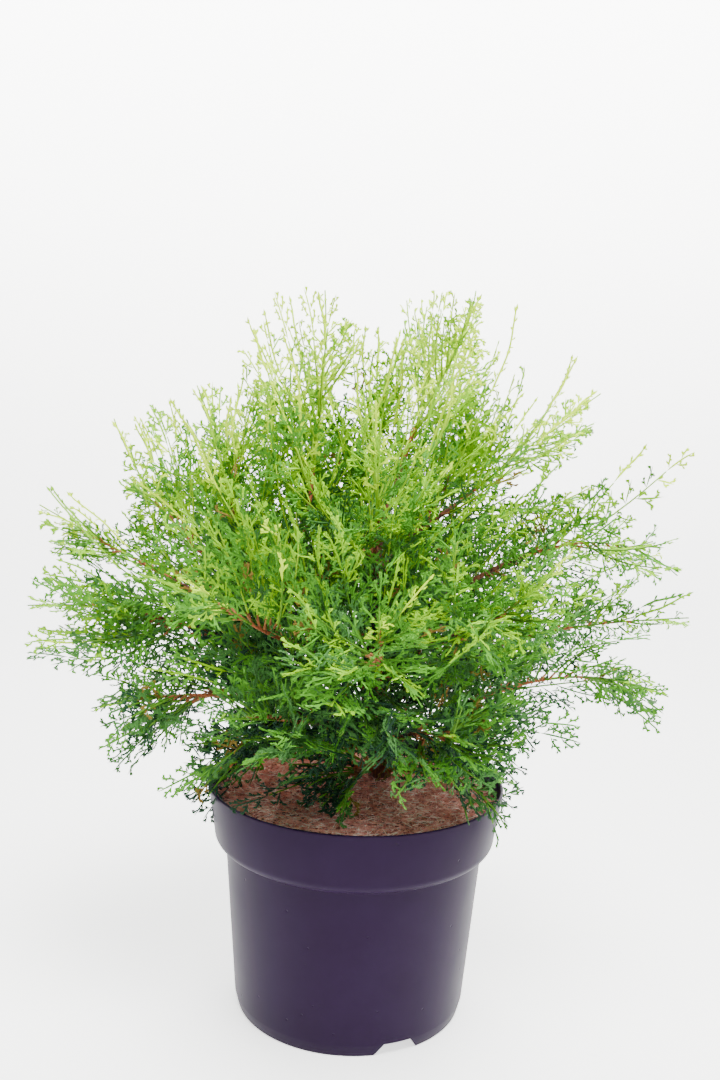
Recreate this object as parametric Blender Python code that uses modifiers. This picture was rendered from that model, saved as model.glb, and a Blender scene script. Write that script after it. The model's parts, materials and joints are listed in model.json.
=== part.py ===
"""A dwarf hinoki cypress about 0.6 m tall in its round plastic nursery pot, in metres with +Z up.

The origin is the middle of the pot's flat underside. The viewer stands towards -Y. A compass
direction of 0 degrees is the viewer's right (+X), and 90 degrees is away from the viewer (+Y).
"""

import math
import random
from typing import NamedTuple

import bmesh
import bpy
from mathutils import Matrix, Vector
from mathutils.kdtree import KDTree

UP = Vector((0, 0, 1))
CLEARANCE = 0.0003  # between pieces that touch in the real thing
WELD = 0.00001
FLAT_ANGLE = math.radians(0.3)  # below which two faces count as one flat face
SHARP_ANGLE = math.radians(40)

# The pot: a turned shell with a deep collar, a raised floor and a flat middle to stand on
POT_HEIGHT = 0.200
RIM_RADIUS = 0.124
LIP_ROUND = 0.0012
COLLAR_LOW_RADIUS = 0.1185
COLLAR_LOW_HEIGHT = 0.158
COLLAR_FOOT_HEIGHT = 0.148
BODY_TOP_RADIUS = 0.109
FOOT_BAND_RADIUS = 0.0990
FOOT_BAND_HEIGHT = 0.010
BASE_RADIUS = 0.0965
BASE_ROUND = 0.001
WALL = 0.0024
FOOT_WALL = 0.0029
FLOOR_RISE = 0.012
STANDING_RADIUS = 0.045
POT_SIDES = 40
NOTCHES = 2
NOTCH_COMPASS = -66.0
NOTCH_LOW_WIDTH = 0.042
NOTCH_TOP_WIDTH = 0.0235
NOTCH_HEIGHT = 0.0108
DRAIN_HOLES = 6
DRAIN_RADIUS = 0.005
DRAIN_CIRCLE = 0.070
DRAIN_COMPASS = 20.0

# What fills the pot: a root ball of peat under a disc of coconut fibre
FILL_INSET = 0.0005
ROOT_BALL_TOP = 0.181
MAT_EDGE_TOP = 0.1895
MAT_MIDDLE_TOP = 0.1955
MAT_EDGE_ROUND = 0.003
MAT_HOLE_RADIUS = 0.0165

# The trunk's route, from below the ground, where it is cut, to where the highest mass begins
TRUNK_ROUTE = (
    (0.022, 0.025, ROOT_BALL_TOP - 0.015),
    (0.018, 0.018, 0.240),
    (0.010, 0.012, 0.310),
    (0.009, 0.006, 0.390),
    (0.028, 0.004, 0.470),
)
TRUNK_LOW_RADIUS = 0.0085
TRUNK_TIP_RADIUS = 0.0026
TRUNK_TAPER = 0.85
ROOT_FLARE = 0.0065
FLARE_HEIGHT = 0.014
TRUNK_STEPS = 28
TRUNK_RINGS = 14

# Boughs, and the stems that go on from them inside the masses
BOUGH_SHARE = 0.55  # of its carrier's radius where it leaves
STEM_TIP_RADIUS = 0.0009
LIMB_TAPER = 1.3
LIMB_STEPS = 40
HANDLE = 0.38  # of the straight way, how far a limb keeps its first and last direction
SHORTEST_BOUGH = 0.22  # of the way to its mass's tip
BOUGH_RINGS = 6
STEM_RINGS = 5
TRUNK_DETAIL, BOUGH_DETAIL, STEM_DETAIL = 2, 1, 0  # bevel resolution, twelve, eight, four sides

# The space of each mass, round its middle
SITE_SHARE = 0.73  # of the way to its tip, where a mass has its middle
MASS_RADIUS = 0.128
SPACE_MARGIN = 0.0016
LIMB_MARGIN = 0.0010
POT_MARGIN = 0.003
TOP_REACH = 0.120  # how far from the pot's axis sprays may always stand out
CROWN_TOP = 0.603
SAMPLE = 0.004

# Twigs and their sprays: each spray is one toothed blade
SPRAYS_A_MASS = 10
TRIES_A_MASS = 160
SHRINKS = (1.0, 0.8, 0.6)  # sizes in which each spray is tried
CROWN_MIDDLE = Vector((0.010, 0.010, 0.310))
GOLDEN_ANGLE = math.radians(137.508)
GOLDEN_SHARE = 0.618034
TURN_STRAY = 0.3
STEM_BARE = 0.05  # of a stem's length, below its first twig
STEM_TOP = 0.97
STEM_FREE = 0.010  # how far along its twig a spray may still be close to its own stem
TWIG_SPACING = 0.006
TWIG_LENGTH = 0.036
TWIG_RADIUS = 0.0014
TWIG_TIP_RADIUS = 0.0004
TWIG_LEANS = (46, 66)  # degrees from the stem
TWIG_CLOSING = 22  # degrees by which twigs near the stem's tip lean less
FACING_UP = 0.5
FACING_STRAY = 0.7
LIGHT_LIFT = 0.28
SPRAY_LENGTH = 0.098
SPRAY_WIDTH = 0.050
SPRAY_THICKNESS = 0.0024
SPRAY_ROOT = 0.30  # of the blade's length that is sunk along its twig
SPRAY_SPACING = 0.0034
LEADER_LENGTH = 0.070
LEADER_WIDTH = 0.020
BLADE_SIDE = ((1.0, 0.0), (0.80, 0.34), (0.62, 0.21), (0.42, 0.50), (0.0, 0.0))  # along, out
BLADE_MIDDLE = 0.42
SEED = 4207


class Mass(NamedTuple):
    """A mass of foliage, by the limb that carries it and where its furthest tip is."""

    name: str
    carrier: str  # the trunk, or the mass whose bough it leaves
    share: float  # how far along its carrier it leaves
    compass: float  # of its tip, from the pot's axis
    reach: float  # of its tip from the pot's axis
    height: float  # of its tip
    launch: float  # rise of the limb where it leaves, in degrees
    finish: float  # rise of the limb at its tip, in degrees


MASSES = (
    Mass("top_right", "trunk", 1.00, 353, 0.078, 0.602, 76, 84),
    Mass("top_left", "trunk", 0.30, 195, 0.040, 0.598, 22, 84),
    Mass("top_back", "trunk", 0.52, 86, 0.080, 0.575, 40, 78),
    Mass("upper_left", "top_left", 0.26, 193, 0.137, 0.523, 35, 66),
    Mass("upper_right", "trunk", 0.74, 357, 0.180, 0.528, 35, 38),
    Mass("upper_front", "trunk", 0.64, 272, 0.140, 0.505, 30, 52),
    Mass("upper_back_right", "trunk", 0.70, 46, 0.172, 0.508, 35, 50),
    Mass("upper_back_left", "trunk", 0.60, 132, 0.163, 0.502, 35, 52),
    Mass("far_left_high", "trunk", 0.47, 180, 0.203, 0.494, 25, 70),
    Mass("left", "trunk", 0.38, 183, 0.260, 0.425, 28, 30),
    Mass("front_left", "trunk", 0.42, 234, 0.212, 0.405, 25, 40),
    Mass("front", "trunk", 0.35, 272, 0.210, 0.390, 25, 36),
    Mass("front_right", "trunk", 0.45, 305, 0.212, 0.410, 28, 40),
    Mass("right_arch", "trunk", 0.50, 0, 0.256, 0.384, 42, -40),
    Mass("back_right", "trunk", 0.40, 40, 0.230, 0.418, 30, 38),
    Mass("back", "trunk", 0.44, 92, 0.205, 0.430, 30, 44),
    Mass("back_left", "trunk", 0.41, 140, 0.228, 0.415, 28, 38),
    Mass("low_left", "trunk", 0.26, 185, 0.269, 0.345, 32, -4),
    Mass("lower_left", "trunk", 0.175, 192, 0.218, 0.268, 34, -12),
    Mass("low_front_left", "trunk", 0.23, 236, 0.188, 0.298, 22, 14),
    Mass("low_front_right", "trunk", 0.20, 294, 0.190, 0.290, 24, 8),
    Mass("right", "trunk", 0.29, 357, 0.265, 0.352, 46, 6),
    Mass("lower_right", "trunk", 0.18, 351, 0.250, 0.292, 36, -20),
    Mass("low_back_right", "trunk", 0.22, 48, 0.218, 0.305, 30, 14),
    Mass("low_back", "trunk", 0.25, 100, 0.196, 0.300, 28, 14),
    Mass("low_back_left", "trunk", 0.215, 142, 0.214, 0.295, 28, 12),
    Mass("inner_left", "trunk", 0.512, 214, 0.118, 0.420, 42, 50),
    Mass("inner_front", "trunk", 0.275, 262, 0.110, 0.345, 25, 36),
    Mass("inner_right", "trunk", 0.385, 335, 0.125, 0.390, 34, 44),
    Mass("inner_back", "trunk", 0.315, 75, 0.110, 0.365, 25, 40),
    Mass("skirt_left", "trunk", 0.120, 200, 0.150, 0.206, 16, -30),
    Mass("skirt_front", "trunk", 0.150, 262, 0.108, 0.212, 10, -14),
    Mass("skirt_right", "trunk", 0.122, 322, 0.148, 0.196, 16, -46),
)
MASSES_ON_THE_TRUNK = (  # whose stems leave the trunk itself, with no bough between
    "top_right", "low_back", "low_back_left", "low_back_right",
    "inner_left", "inner_front", "inner_right", "inner_back",
    "skirt_left", "skirt_front", "skirt_right",
)


def compass_vector(degrees):
    """The level unit vector in a compass direction."""
    return Vector((math.cos(math.radians(degrees)), math.sin(math.radians(degrees)), 0))


def material(name, colour, roughness):
    """A plain Principled material, in linear colour."""
    made = bpy.data.materials.new(name)
    made.use_nodes = True
    shader = made.node_tree.nodes["Principled BSDF"]
    shader.inputs["Base Color"].default_value = (*colour, 1)
    shader.inputs["Roughness"].default_value = roughness
    made.diffuse_color = (*colour, 1)
    return made


def add_object(name, data, collection, finish=None):
    """Links a new object for this mesh or curve, with its material."""
    obj = bpy.data.objects.new(name, data)
    collection.objects.link(obj)
    if finish and not data.materials:
        data.materials.append(finish)
    return obj


def mesh_from(shape, name):
    """A mesh of what was made in bmesh, which is freed."""
    mesh = bpy.data.meshes.new(name)
    shape.to_mesh(mesh)
    shape.free()
    return mesh


def mesh_of(obj):
    """The object's evaluated mesh with its caps welded. The object is removed."""
    bpy.context.view_layer.update()
    graph = bpy.context.evaluated_depsgraph_get()
    mesh = bpy.data.meshes.new_from_object(obj.evaluated_get(graph))
    shape = bmesh.new()
    shape.from_mesh(mesh)
    bmesh.ops.remove_doubles(shape, verts=shape.verts, dist=WELD)
    shape.to_mesh(mesh)
    shape.free()
    mesh.name = obj.name
    bpy.data.objects.remove(obj)
    return mesh


def tool_collection(name, meshes):
    """A collection of wire objects for these meshes, to cut or join with."""
    tools = bpy.data.collections.new(name)
    bpy.context.scene.collection.children.link(tools)
    for mesh in meshes:
        tool = add_object(name, mesh, tools)
        tool.display_type = "WIRE"
        tool.hide_render = True
    return tools


def apply_boolean(obj, operation, tools, solver="EXACT"):
    """Applies one Boolean of a collection to obj, and removes the collection with its objects."""
    modifier = obj.modifiers.new("Boolean", "BOOLEAN")
    modifier.operation = operation
    modifier.solver = solver
    modifier.operand_type = "COLLECTION"
    modifier.collection = tools
    bpy.context.view_layer.update()
    graph = bpy.context.evaluated_depsgraph_get()
    mesh = bpy.data.meshes.new_from_object(obj.evaluated_get(graph))
    obj.modifiers.clear()
    shape = bmesh.new()
    shape.from_mesh(mesh)
    bmesh.ops.dissolve_limit(shape, angle_limit=FLAT_ANGLE, verts=shape.verts, edges=shape.edges)
    shape.to_mesh(mesh)
    shape.free()
    obj.data = mesh
    mesh.name = obj.name
    for tool in list(tools.objects):
        bpy.data.objects.remove(tool)
    bpy.data.collections.remove(tools)


def shade_round(obj):
    """Shades a round piece smooth between its sharp edges."""
    obj.data.shade_smooth()
    obj.data.set_sharp_from_angle(angle=SHARP_ANGLE)


def turned(name, profile, collection, finish):
    """A solid of revolution about Z from (radius, height) points that run down its outer side."""
    shape = bmesh.new()
    points = [shape.verts.new((radius, 0, height)) for radius, height in profile]
    for first, second in zip(points, points[1:]):
        shape.edges.new((first, second))
    obj = add_object(name, mesh_from(shape, name), collection)
    screw = obj.modifiers.new("Turn", "SCREW")
    screw.steps = screw.render_steps = POT_SIDES
    screw.use_merge_vertices = True
    screw.merge_threshold = WELD
    return add_object(name, mesh_of(obj), collection, finish)


def arc(middle, radius, start, end, steps):
    """Points on an arc in the profile plane, by angle in degrees."""
    angles = [math.radians(start + (end - start) * step / steps) for step in range(steps + 1)]
    return [(middle[0] + radius * math.cos(a), middle[1] + radius * math.sin(a)) for a in angles]


def pot_inner_radius(height):
    """The radius of the pot's inner wall at a height above its floor."""
    stations = (
        (FLOOR_RISE, FOOT_BAND_RADIUS - WALL),
        (COLLAR_FOOT_HEIGHT, BODY_TOP_RADIUS - WALL),
        (COLLAR_LOW_HEIGHT, COLLAR_LOW_RADIUS - WALL),
        (POT_HEIGHT, RIM_RADIUS - WALL),
    )
    for (low, inner), (high, outer) in zip(stations, stations[1:]):
        if height <= high:
            return inner + (outer - inner) * (height - low) / (high - low)
    return stations[-1][1]


def drain_cutter(compass):
    """A round cutter through the pot's floor."""
    place = DRAIN_CIRCLE * compass_vector(compass) + UP * (FLOOR_RISE + WALL / 2)
    shape = bmesh.new()
    bmesh.ops.create_cone(
        shape, segments=12, cap_ends=True, radius1=DRAIN_RADIUS, radius2=DRAIN_RADIUS,
        depth=4 * WALL, matrix=Matrix.Translation(place),
    )
    return mesh_from(shape, "drain_cutter")


def notch_cutter(compass):
    """A wedge through the foot's skirt, wider at the ground than at its top."""
    depth = 4 * FOOT_WALL
    shape = bmesh.new()
    bmesh.ops.create_cube(shape, size=1)
    for vert in shape.verts:
        high = vert.co.z > 0
        width = NOTCH_TOP_WIDTH if high else NOTCH_LOW_WIDTH
        height = NOTCH_HEIGHT if high else -WALL
        vert.co = Vector((vert.co.x * depth + BASE_RADIUS, vert.co.y * width, height))
    turn = Matrix.Rotation(math.radians(compass), 3, "Z")
    bmesh.ops.rotate(shape, verts=shape.verts, cent=(0, 0, 0), matrix=turn)
    return mesh_from(shape, "notch_cutter")


def make_pot(collection, finish):
    """The pot's shell, with the notches in its foot and its drain holes."""
    floor = FLOOR_RISE + WALL
    step = COLLAR_LOW_HEIGHT - COLLAR_FOOT_HEIGHT
    standing_edge = STANDING_RADIUS - BASE_ROUND
    inner = [
        (0, WALL),
        (standing_edge - WALL, WALL),
        (STANDING_RADIUS - WALL, floor),
        (pot_inner_radius(floor), floor),
    ]
    for height in (COLLAR_FOOT_HEIGHT, COLLAR_LOW_HEIGHT, POT_HEIGHT - LIP_ROUND):
        inner.append((pot_inner_radius(height), height))
    outer = [(RIM_RADIUS - 2 * LIP_ROUND, POT_HEIGHT), (RIM_RADIUS, POT_HEIGHT - LIP_ROUND)]
    outer += arc((COLLAR_LOW_RADIUS - step, COLLAR_LOW_HEIGHT), step, 0, -75, 3)
    outer += [
        (BODY_TOP_RADIUS, COLLAR_FOOT_HEIGHT - BASE_ROUND / 2),
        (FOOT_BAND_RADIUS, FOOT_BAND_HEIGHT),
        (BASE_RADIUS, BASE_ROUND),
        (BASE_RADIUS - BASE_ROUND, 0),
        (BASE_RADIUS - FOOT_WALL, 0),
        (BASE_RADIUS - FOOT_WALL, FLOOR_RISE),
        (STANDING_RADIUS, FLOOR_RISE),
        (standing_edge, 0),
        (0, 0),
    ]
    pot = turned("pot", inner + outer, collection, finish)
    cutters = [notch_cutter(NOTCH_COMPASS + 360 / NOTCHES * number) for number in range(NOTCHES)]
    cutters += [drain_cutter(DRAIN_COMPASS + 360 / DRAIN_HOLES * n) for n in range(DRAIN_HOLES)]
    apply_boolean(pot, "DIFFERENCE", tool_collection("pot_cutters", cutters))
    shade_round(pot)


def make_root_ball(collection, finish):
    """The root ball that fills the pot, as far as the fibre disc."""
    low = FLOOR_RISE + WALL + CLEARANCE
    heights = (ROOT_BALL_TOP, COLLAR_LOW_HEIGHT, COLLAR_FOOT_HEIGHT, low)
    side = [(pot_inner_radius(height) - FILL_INSET, height) for height in heights]
    shade_round(turned("root_ball", [(0, ROOT_BALL_TOP), *side, (0, low)], collection, finish))


def make_fibre_disc(collection, finish):
    """The domed disc of coconut fibre that covers the root ball, with a hole for the trunk."""
    low = ROOT_BALL_TOP + CLEARANCE
    edge = pot_inner_radius(low) - FILL_INSET
    fall = MAT_MIDDLE_TOP - MAT_EDGE_TOP
    domed = [(edge * share, MAT_MIDDLE_TOP - fall * share**2) for share in (0, 0.5, 0.93)]
    rim = [(edge - FILL_INSET, MAT_EDGE_TOP - MAT_EDGE_ROUND), (edge, low), (0, low)]
    disc = turned("fibre_disc", domed + rim, collection, finish)
    shape = bmesh.new()
    bmesh.ops.create_cone(
        shape, segments=16, cap_ends=True, radius1=MAT_HOLE_RADIUS, radius2=MAT_HOLE_RADIUS,
        depth=POT_HEIGHT - ROOT_BALL_TOP + 4 * MAT_HOLE_RADIUS,
        matrix=Matrix.Translation((*TRUNK_ROUTE[0][:2], low)),
    )
    apply_boolean(disc, "DIFFERENCE", tool_collection("hole", [mesh_from(shape, "hole")]))
    shade_round(disc)


def smooth_route(points, steps):
    """Points evenly spaced by parameter on a Catmull-Rom curve through the given ones."""
    points = [Vector(point) for point in points]
    ends = [2 * points[0] - points[1], *points, 2 * points[-1] - points[-2]]
    route = []
    for step in range(steps + 1):
        place = step / steps * (len(points) - 1)
        span = min(int(place), len(points) - 2)
        t = place - span
        a, b, c, d = ends[span : span + 4]
        cubic = (3 * b - a - 3 * c + d) * t**3
        route.append(0.5 * (2 * b + (c - a) * t + (2 * a - 5 * b + 4 * c - d) * t**2 + cubic))
    return route


def bezier(start, first, second, end, t):
    """A point on a cubic Bezier curve."""
    s = 1 - t
    return s**3 * start + 3 * s**2 * t * first + 3 * s * t**2 * second + t**3 * end


class Limb:
    """A tapering limb's centre line, as points with a radius each."""

    def __init__(self, points, radii):
        self.points = points
        self.radii = radii

    def at(self, share):
        """The place and radius at a share of its length in steps."""
        place = share * (len(self.points) - 1)
        low = min(int(place), len(self.points) - 2)
        t = place - low
        point = self.points[low].lerp(self.points[low + 1], t)
        return point, self.radii[low] * (1 - t) + self.radii[low + 1] * t

    def direction(self, share):
        """The way it runs at a share of its length in steps."""
        low = min(int(share * (len(self.points) - 1)), len(self.points) - 2)
        return (self.points[low + 1] - self.points[low]).normalized()

    def part(self, low, high):
        """The limb between two of its points."""
        return Limb(self.points[low : high + 1], self.radii[low : high + 1])

    def thinned(self, rings):
        """The same limb with about this many points, both ends kept."""
        count = len(self.points) - 1
        picks = sorted({round(count * ring / (rings - 1)) for ring in range(rings)})
        return Limb([self.points[i] for i in picks], [self.radii[i] for i in picks])

    def set_back_from(self, before):
        """The same limb, started so far past the end of another that both ends keep clear."""
        along = self.thinned(STEM_RINGS).direction(0)
        lean = along.cross(before.direction(1)).length
        gap = CLEARANCE + (self.radii[0] + before.radii[-1]) * lean
        return Limb([self.points[0] + along * gap, *self.points[1:]], self.radii)


def trunk_limb():
    """The trunk, with its root flare and true taper."""
    points = smooth_route(TRUNK_ROUTE, TRUNK_STEPS)
    radii = []
    for step, point in enumerate(points):
        taper = (step / TRUNK_STEPS) ** TRUNK_TAPER
        flare = ROOT_FLARE * math.exp(-max(0, point.z - ROOT_BALL_TOP) / FLARE_HEIGHT)
        radii.append(TRUNK_LOW_RADIUS + (TRUNK_TIP_RADIUS - TRUNK_LOW_RADIUS) * taper + flare)
    return Limb(points, radii)


def tip_of(mass):
    """The furthest tip of a mass."""
    return mass.reach * compass_vector(mass.compass) + mass.height * UP


def whole_limb(mass, carrier):
    """The line of a bough and of the stem that goes on from it, from its carrier to its tip."""
    start, carrier_radius = carrier.at(mass.share)
    tip = tip_of(mass)
    level = Vector((tip.x - start.x, tip.y - start.y, 0)).normalized()
    rises = (math.radians(mass.launch), math.radians(mass.finish))
    leave, arrive = (level * math.cos(rise) + UP * math.sin(rise) for rise in rises)
    handle = (tip - start).length * HANDLE
    thick = carrier_radius if mass.share == 1 else carrier_radius * BOUGH_SHARE
    points, radii = [], []
    for step in range(LIMB_STEPS + 1):
        t = step / LIMB_STEPS
        points.append(bezier(start, start + leave * handle, tip - arrive * handle, tip, t))
        radii.append(STEM_TIP_RADIUS + (thick - STEM_TIP_RADIUS) * (1 - t) ** LIMB_TAPER)
    return Limb(points, radii)


def inside_space(point, own, sites, margin):
    """Whether a point is nearer to its own mass's middle than to any other's, by a margin."""
    middle = sites[own]
    if (point - middle).length > MASS_RADIUS:
        return False
    for name, other in sites.items():
        if name == own:
            continue
        across = other - middle
        if (point - middle).dot(across) / across.length > across.length / 2 - margin:
            return False
    return True


def clear_of_pot(point):
    """Whether a point keeps clear of the pot and of the fibre disc in it."""
    level = math.hypot(point.x, point.y)
    if level > RIM_RADIUS + POT_MARGIN:
        return True
    over_disc = level < RIM_RADIUS - WALL - POT_MARGIN
    return point.z > (MAT_MIDDLE_TOP if over_disc else POT_HEIGHT) + POT_MARGIN


def entry_step(limb, name, sites):
    """The first step from which the limb stays inside its own mass's space."""
    for step in range(len(limb.points) - 1, 0, -1):
        if not inside_space(limb.points[step - 1], name, sites, SPACE_MARGIN + limb.radii[step]):
            return step
    return 0


def plan_limbs():
    """The trunk, the bough and the stem of each mass by name, and the middle of its space."""
    trunk = trunk_limb()
    whole = {}
    for mass in MASSES:
        carrier = trunk if mass.carrier == "trunk" else whole[mass.carrier]
        whole[mass.name] = whole_limb(mass, carrier)
    sites = {name: limb.at(SITE_SHARE)[0] for name, limb in whole.items()}
    boughs, stems = {}, {}
    for name, limb in whole.items():
        if name in MASSES_ON_THE_TRUNK:
            stems[name] = limb
            continue
        enter = max(entry_step(limb, name, sites), round(SHORTEST_BOUGH * LIMB_STEPS))
        boughs[name] = limb.part(0, enter)
        stems[name] = limb.part(enter, LIMB_STEPS)
    return trunk, boughs, stems, sites


def tube(name, limb, detail, collection, finish=None, grow=0.0):
    """A closed tapering tube along a limb, made a mesh. grow thickens it, for a cutter."""
    thickest = max(limb.radii) + grow
    curve = bpy.data.curves.new(name, "CURVE")
    curve.dimensions = "3D"
    curve.bevel_depth = thickest
    curve.bevel_resolution = detail
    curve.use_fill_caps = True
    spline = curve.splines.new("POLY")
    spline.points.add(len(limb.points) - 1)
    for point, place, radius in zip(spline.points, limb.points, limb.radii):
        point.co = (*place, 1)
        point.radius = (radius + grow) / thickest
    obj = add_object(name, curve, collection)
    return add_object(name, mesh_of(obj), collection, finish)


def cut_by_limb(obj, limb, detail):
    """Cuts an object back from a limb, so that it starts just clear of its side."""
    tools = tool_collection("carrier", [])
    tube("carrier", limb, detail, tools, grow=CLEARANCE)
    apply_boolean(obj, "DIFFERENCE", tools)


def make_trunk(line, collection, finish):
    """The trunk, cut flat where it meets the ground."""
    trunk = tube("trunk", line, TRUNK_DETAIL, collection, finish)
    side = 8 * MAT_HOLE_RADIUS
    middle = Vector((*line.points[0].xy, ROOT_BALL_TOP + CLEARANCE - side / 2))
    shape = bmesh.new()
    bmesh.ops.create_cube(shape, size=side, matrix=Matrix.Translation(middle))
    apply_boolean(trunk, "DIFFERENCE", tool_collection("ground", [mesh_from(shape, "ground")]))
    shade_round(trunk)


def make_boughs(trunk_line, lines, collection, finish):
    """The boughs, each cut back from the limb that carries it."""
    for mass in MASSES:
        if mass.name not in lines:
            continue
        bough = tube("bough_" + mass.name, lines[mass.name], BOUGH_DETAIL, collection, finish)
        if mass.carrier == "trunk":
            cut_by_limb(bough, trunk_line, TRUNK_DETAIL)
        else:
            cut_by_limb(bough, lines[mass.carrier], BOUGH_DETAIL)
        shade_round(bough)


def spray_blade():
    """A toothed blade, a flattened two-ended pyramid along +X with its root at the origin."""
    ring = BLADE_SIDE + tuple((along, -out) for along, out in BLADE_SIDE[-2:0:-1])
    shape = bmesh.new()
    bmesh.ops.create_uvsphere(shape, u_segments=len(ring), v_segments=2, radius=1)
    poles = [vert for vert in shape.verts if abs(vert.co.z) > 0.5]
    rim = [vert for vert in shape.verts if vert not in poles]
    rim.sort(key=lambda vert: math.atan2(vert.co.y, vert.co.x) % math.tau)
    for vert, (along, out) in zip(rim, ring):
        vert.co = Vector((along, out, 0))
    for vert in poles:
        vert.co = Vector((BLADE_MIDDLE, 0, math.copysign(0.5, vert.co.z)))
    return mesh_from(shape, "spray_blade")


def blade_half_width(share):
    """Half the blade's width at a share of its length, as a share of its whole width."""
    for (high, high_out), (low, low_out) in zip(BLADE_SIDE, BLADE_SIDE[1:]):
        if share >= low:
            return low_out + (high_out - low_out) * (share - low) / (high - low)
    return 0


class Spray(NamedTuple):
    """A twig and the flat spray it carries at its tip."""

    foot: Vector  # of the twig
    tip: Vector  # of the twig, inside the spray
    root: Vector  # of the spray, on the twig
    along: Vector
    across: Vector  # in the spray's plane
    length: float
    width: float


def make_spray(foot, along, across, twig, length, width):
    """A spray that starts this far along its twig, which ends inside it."""
    root = foot + along * twig
    return Spray(foot, root + along * length * SPRAY_ROOT, root, along, across, length, width)


def sprout(stem, rng):
    """Sprays round a stem by the golden angle, each turned so that it faces out of the crown."""
    turn = rng.uniform(0, math.tau)
    for number in range(TRIES_A_MASS):
        share = (number * GOLDEN_SHARE) % 1
        place = STEM_BARE + share * (STEM_TOP - STEM_BARE)
        foot, ahead = stem.at(place)[0], stem.direction(place)
        side = ahead.orthogonal().normalized()
        turn += GOLDEN_ANGLE + rng.uniform(-TURN_STRAY, TURN_STRAY)
        round_stem = side * math.cos(turn) + side.cross(ahead) * math.sin(turn)
        lean = math.radians(rng.uniform(*TWIG_LEANS) - TWIG_CLOSING * share)
        lift = UP * LIGHT_LIFT * rng.uniform(0.3, 1)
        along = (ahead * math.cos(lean) + round_stem * math.sin(lean) + lift).normalized()
        outward = (foot - CROWN_MIDDLE).normalized()
        stray = Vector([rng.uniform(-1, 1) for _ in range(3)]) * FACING_STRAY
        across = (outward + UP * FACING_UP + stray).cross(along).normalized()
        size = (1.05 - 0.30 * share) * rng.uniform(0.85, 1.1)
        twig = TWIG_LENGTH * (1.1 - 0.7 * share) * rng.uniform(0.7, 1.2)
        for shrink in SHRINKS:
            length, width = SPRAY_LENGTH * size * shrink, SPRAY_WIDTH * size * shrink
            yield make_spray(foot, along, across, twig * shrink, length, width)


def leading_spray(whole_stem):
    """The stem cut short, and the narrow spray that goes on from it to the furthest tip."""
    tip = whole_stem.points[-1]
    last = len(whole_stem.points) - 1
    while (whole_stem.points[last] - tip).length < LEADER_LENGTH * (1 - SPRAY_ROOT):
        last -= 1
    stem = whole_stem.part(0, last)
    along = (tip - stem.points[-1]).normalized()
    across = along.cross(Vector((0, 1, FACING_UP))).normalized()
    root = tip - along * LEADER_LENGTH
    return stem, Spray(root, stem.points[-1], root, along, across, LEADER_LENGTH, LEADER_WIDTH)


def spray_points(spray):
    """Points over a twig and its spray, a few millimetres apart."""
    steps = max(2, math.ceil((spray.root - spray.foot).length / SAMPLE))
    points = [spray.foot.lerp(spray.root, step / steps) for step in range(1, steps + 1)]
    rows = math.ceil(spray.length / SAMPLE)
    for row in range(rows + 1):
        share = row / rows
        half = spray.width * blade_half_width(share)
        middle = spray.root + spray.along * spray.length * share
        columns = max(1, math.ceil(half / SAMPLE))
        points += [middle + spray.across * half * c / columns for c in range(-columns, columns + 1)]
    return points


class Field:
    """Round places that a spray has to keep clear of, found by distance."""

    def __init__(self, places):
        self.tree = KDTree(len(places))
        self.radii = [radius for _, radius in places]
        self.widest = max(self.radii)
        for index, (point, _) in enumerate(places):
            self.tree.insert(point, index)
        self.tree.balance()

    def touches(self, point, reach):
        """Whether anything lies within reach of a point."""
        near = self.tree.find_range(point, self.widest + reach)
        return any(distance < self.radii[index] + reach for _, index, distance in near)


def limb_places(limbs):
    """Places along limbs, close enough together to stand for the whole of them."""
    places = []
    for limb in limbs:
        steps = 4 * (len(limb.points) - 1)
        places += [limb.at(step / steps) for step in range(steps + 1)]
    return places


def keeps_clear(spray, mass, sites, limbs, own_stem, others):
    """Whether a spray stays in its mass's space, within its reach, and clear of all else."""
    middle = sites[mass.name]
    outward = tip_of(mass) - middle
    furthest = outward.length
    outward.normalize()
    half = SPRAY_THICKNESS / 2
    for point in spray_points(spray):
        if math.hypot(point.x, point.y) > max(mass.reach, TOP_REACH) or point.z > CROWN_TOP:
            return False
        if (point - middle).dot(outward) > furthest:
            return False
        if not inside_space(point, mass.name, sites, SPACE_MARGIN) or not clear_of_pot(point):
            return False
        if limbs.touches(point, half + LIMB_MARGIN) or others.touches(point, SPRAY_SPACING):
            return False
        if (point - spray.foot).length > STEM_FREE and own_stem.touches(point, half):
            return False
    return True


def choose_sprays(mass, stem, leader, sites, limbs):
    """The leading spray, and as many others as find room, by the seeded rule."""
    rng = random.Random(SEED + sum(map(ord, mass.name)))
    own_stem = Field(limb_places([stem]))
    chosen = [leader]
    taken = [(point, 0) for point in spray_points(leader)]
    others = Field(taken)
    for spray in sprout(stem, rng):
        if len(chosen) > SPRAYS_A_MASS:
            break
        if any((spray.foot - other.foot).length < TWIG_SPACING for other in chosen[1:]):
            continue
        if keeps_clear(spray, mass, sites, limbs, own_stem, others):
            chosen.append(spray)
            taken += [(point, 0) for point in spray_points(spray)]
            others = Field(taken)
    return chosen


def twig_mesh(foot, tip):
    """A three-sided twig, closed at both ends."""
    span = tip - foot
    turn = span.to_track_quat("Z", "Y").to_matrix().to_4x4()
    shape = bmesh.new()
    bmesh.ops.create_cone(
        shape, segments=3, cap_ends=True, radius1=TWIG_RADIUS, radius2=TWIG_TIP_RADIUS,
        depth=span.length, matrix=Matrix.Translation((foot + tip) / 2) @ turn,
    )
    return mesh_from(shape, "twig")


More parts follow.
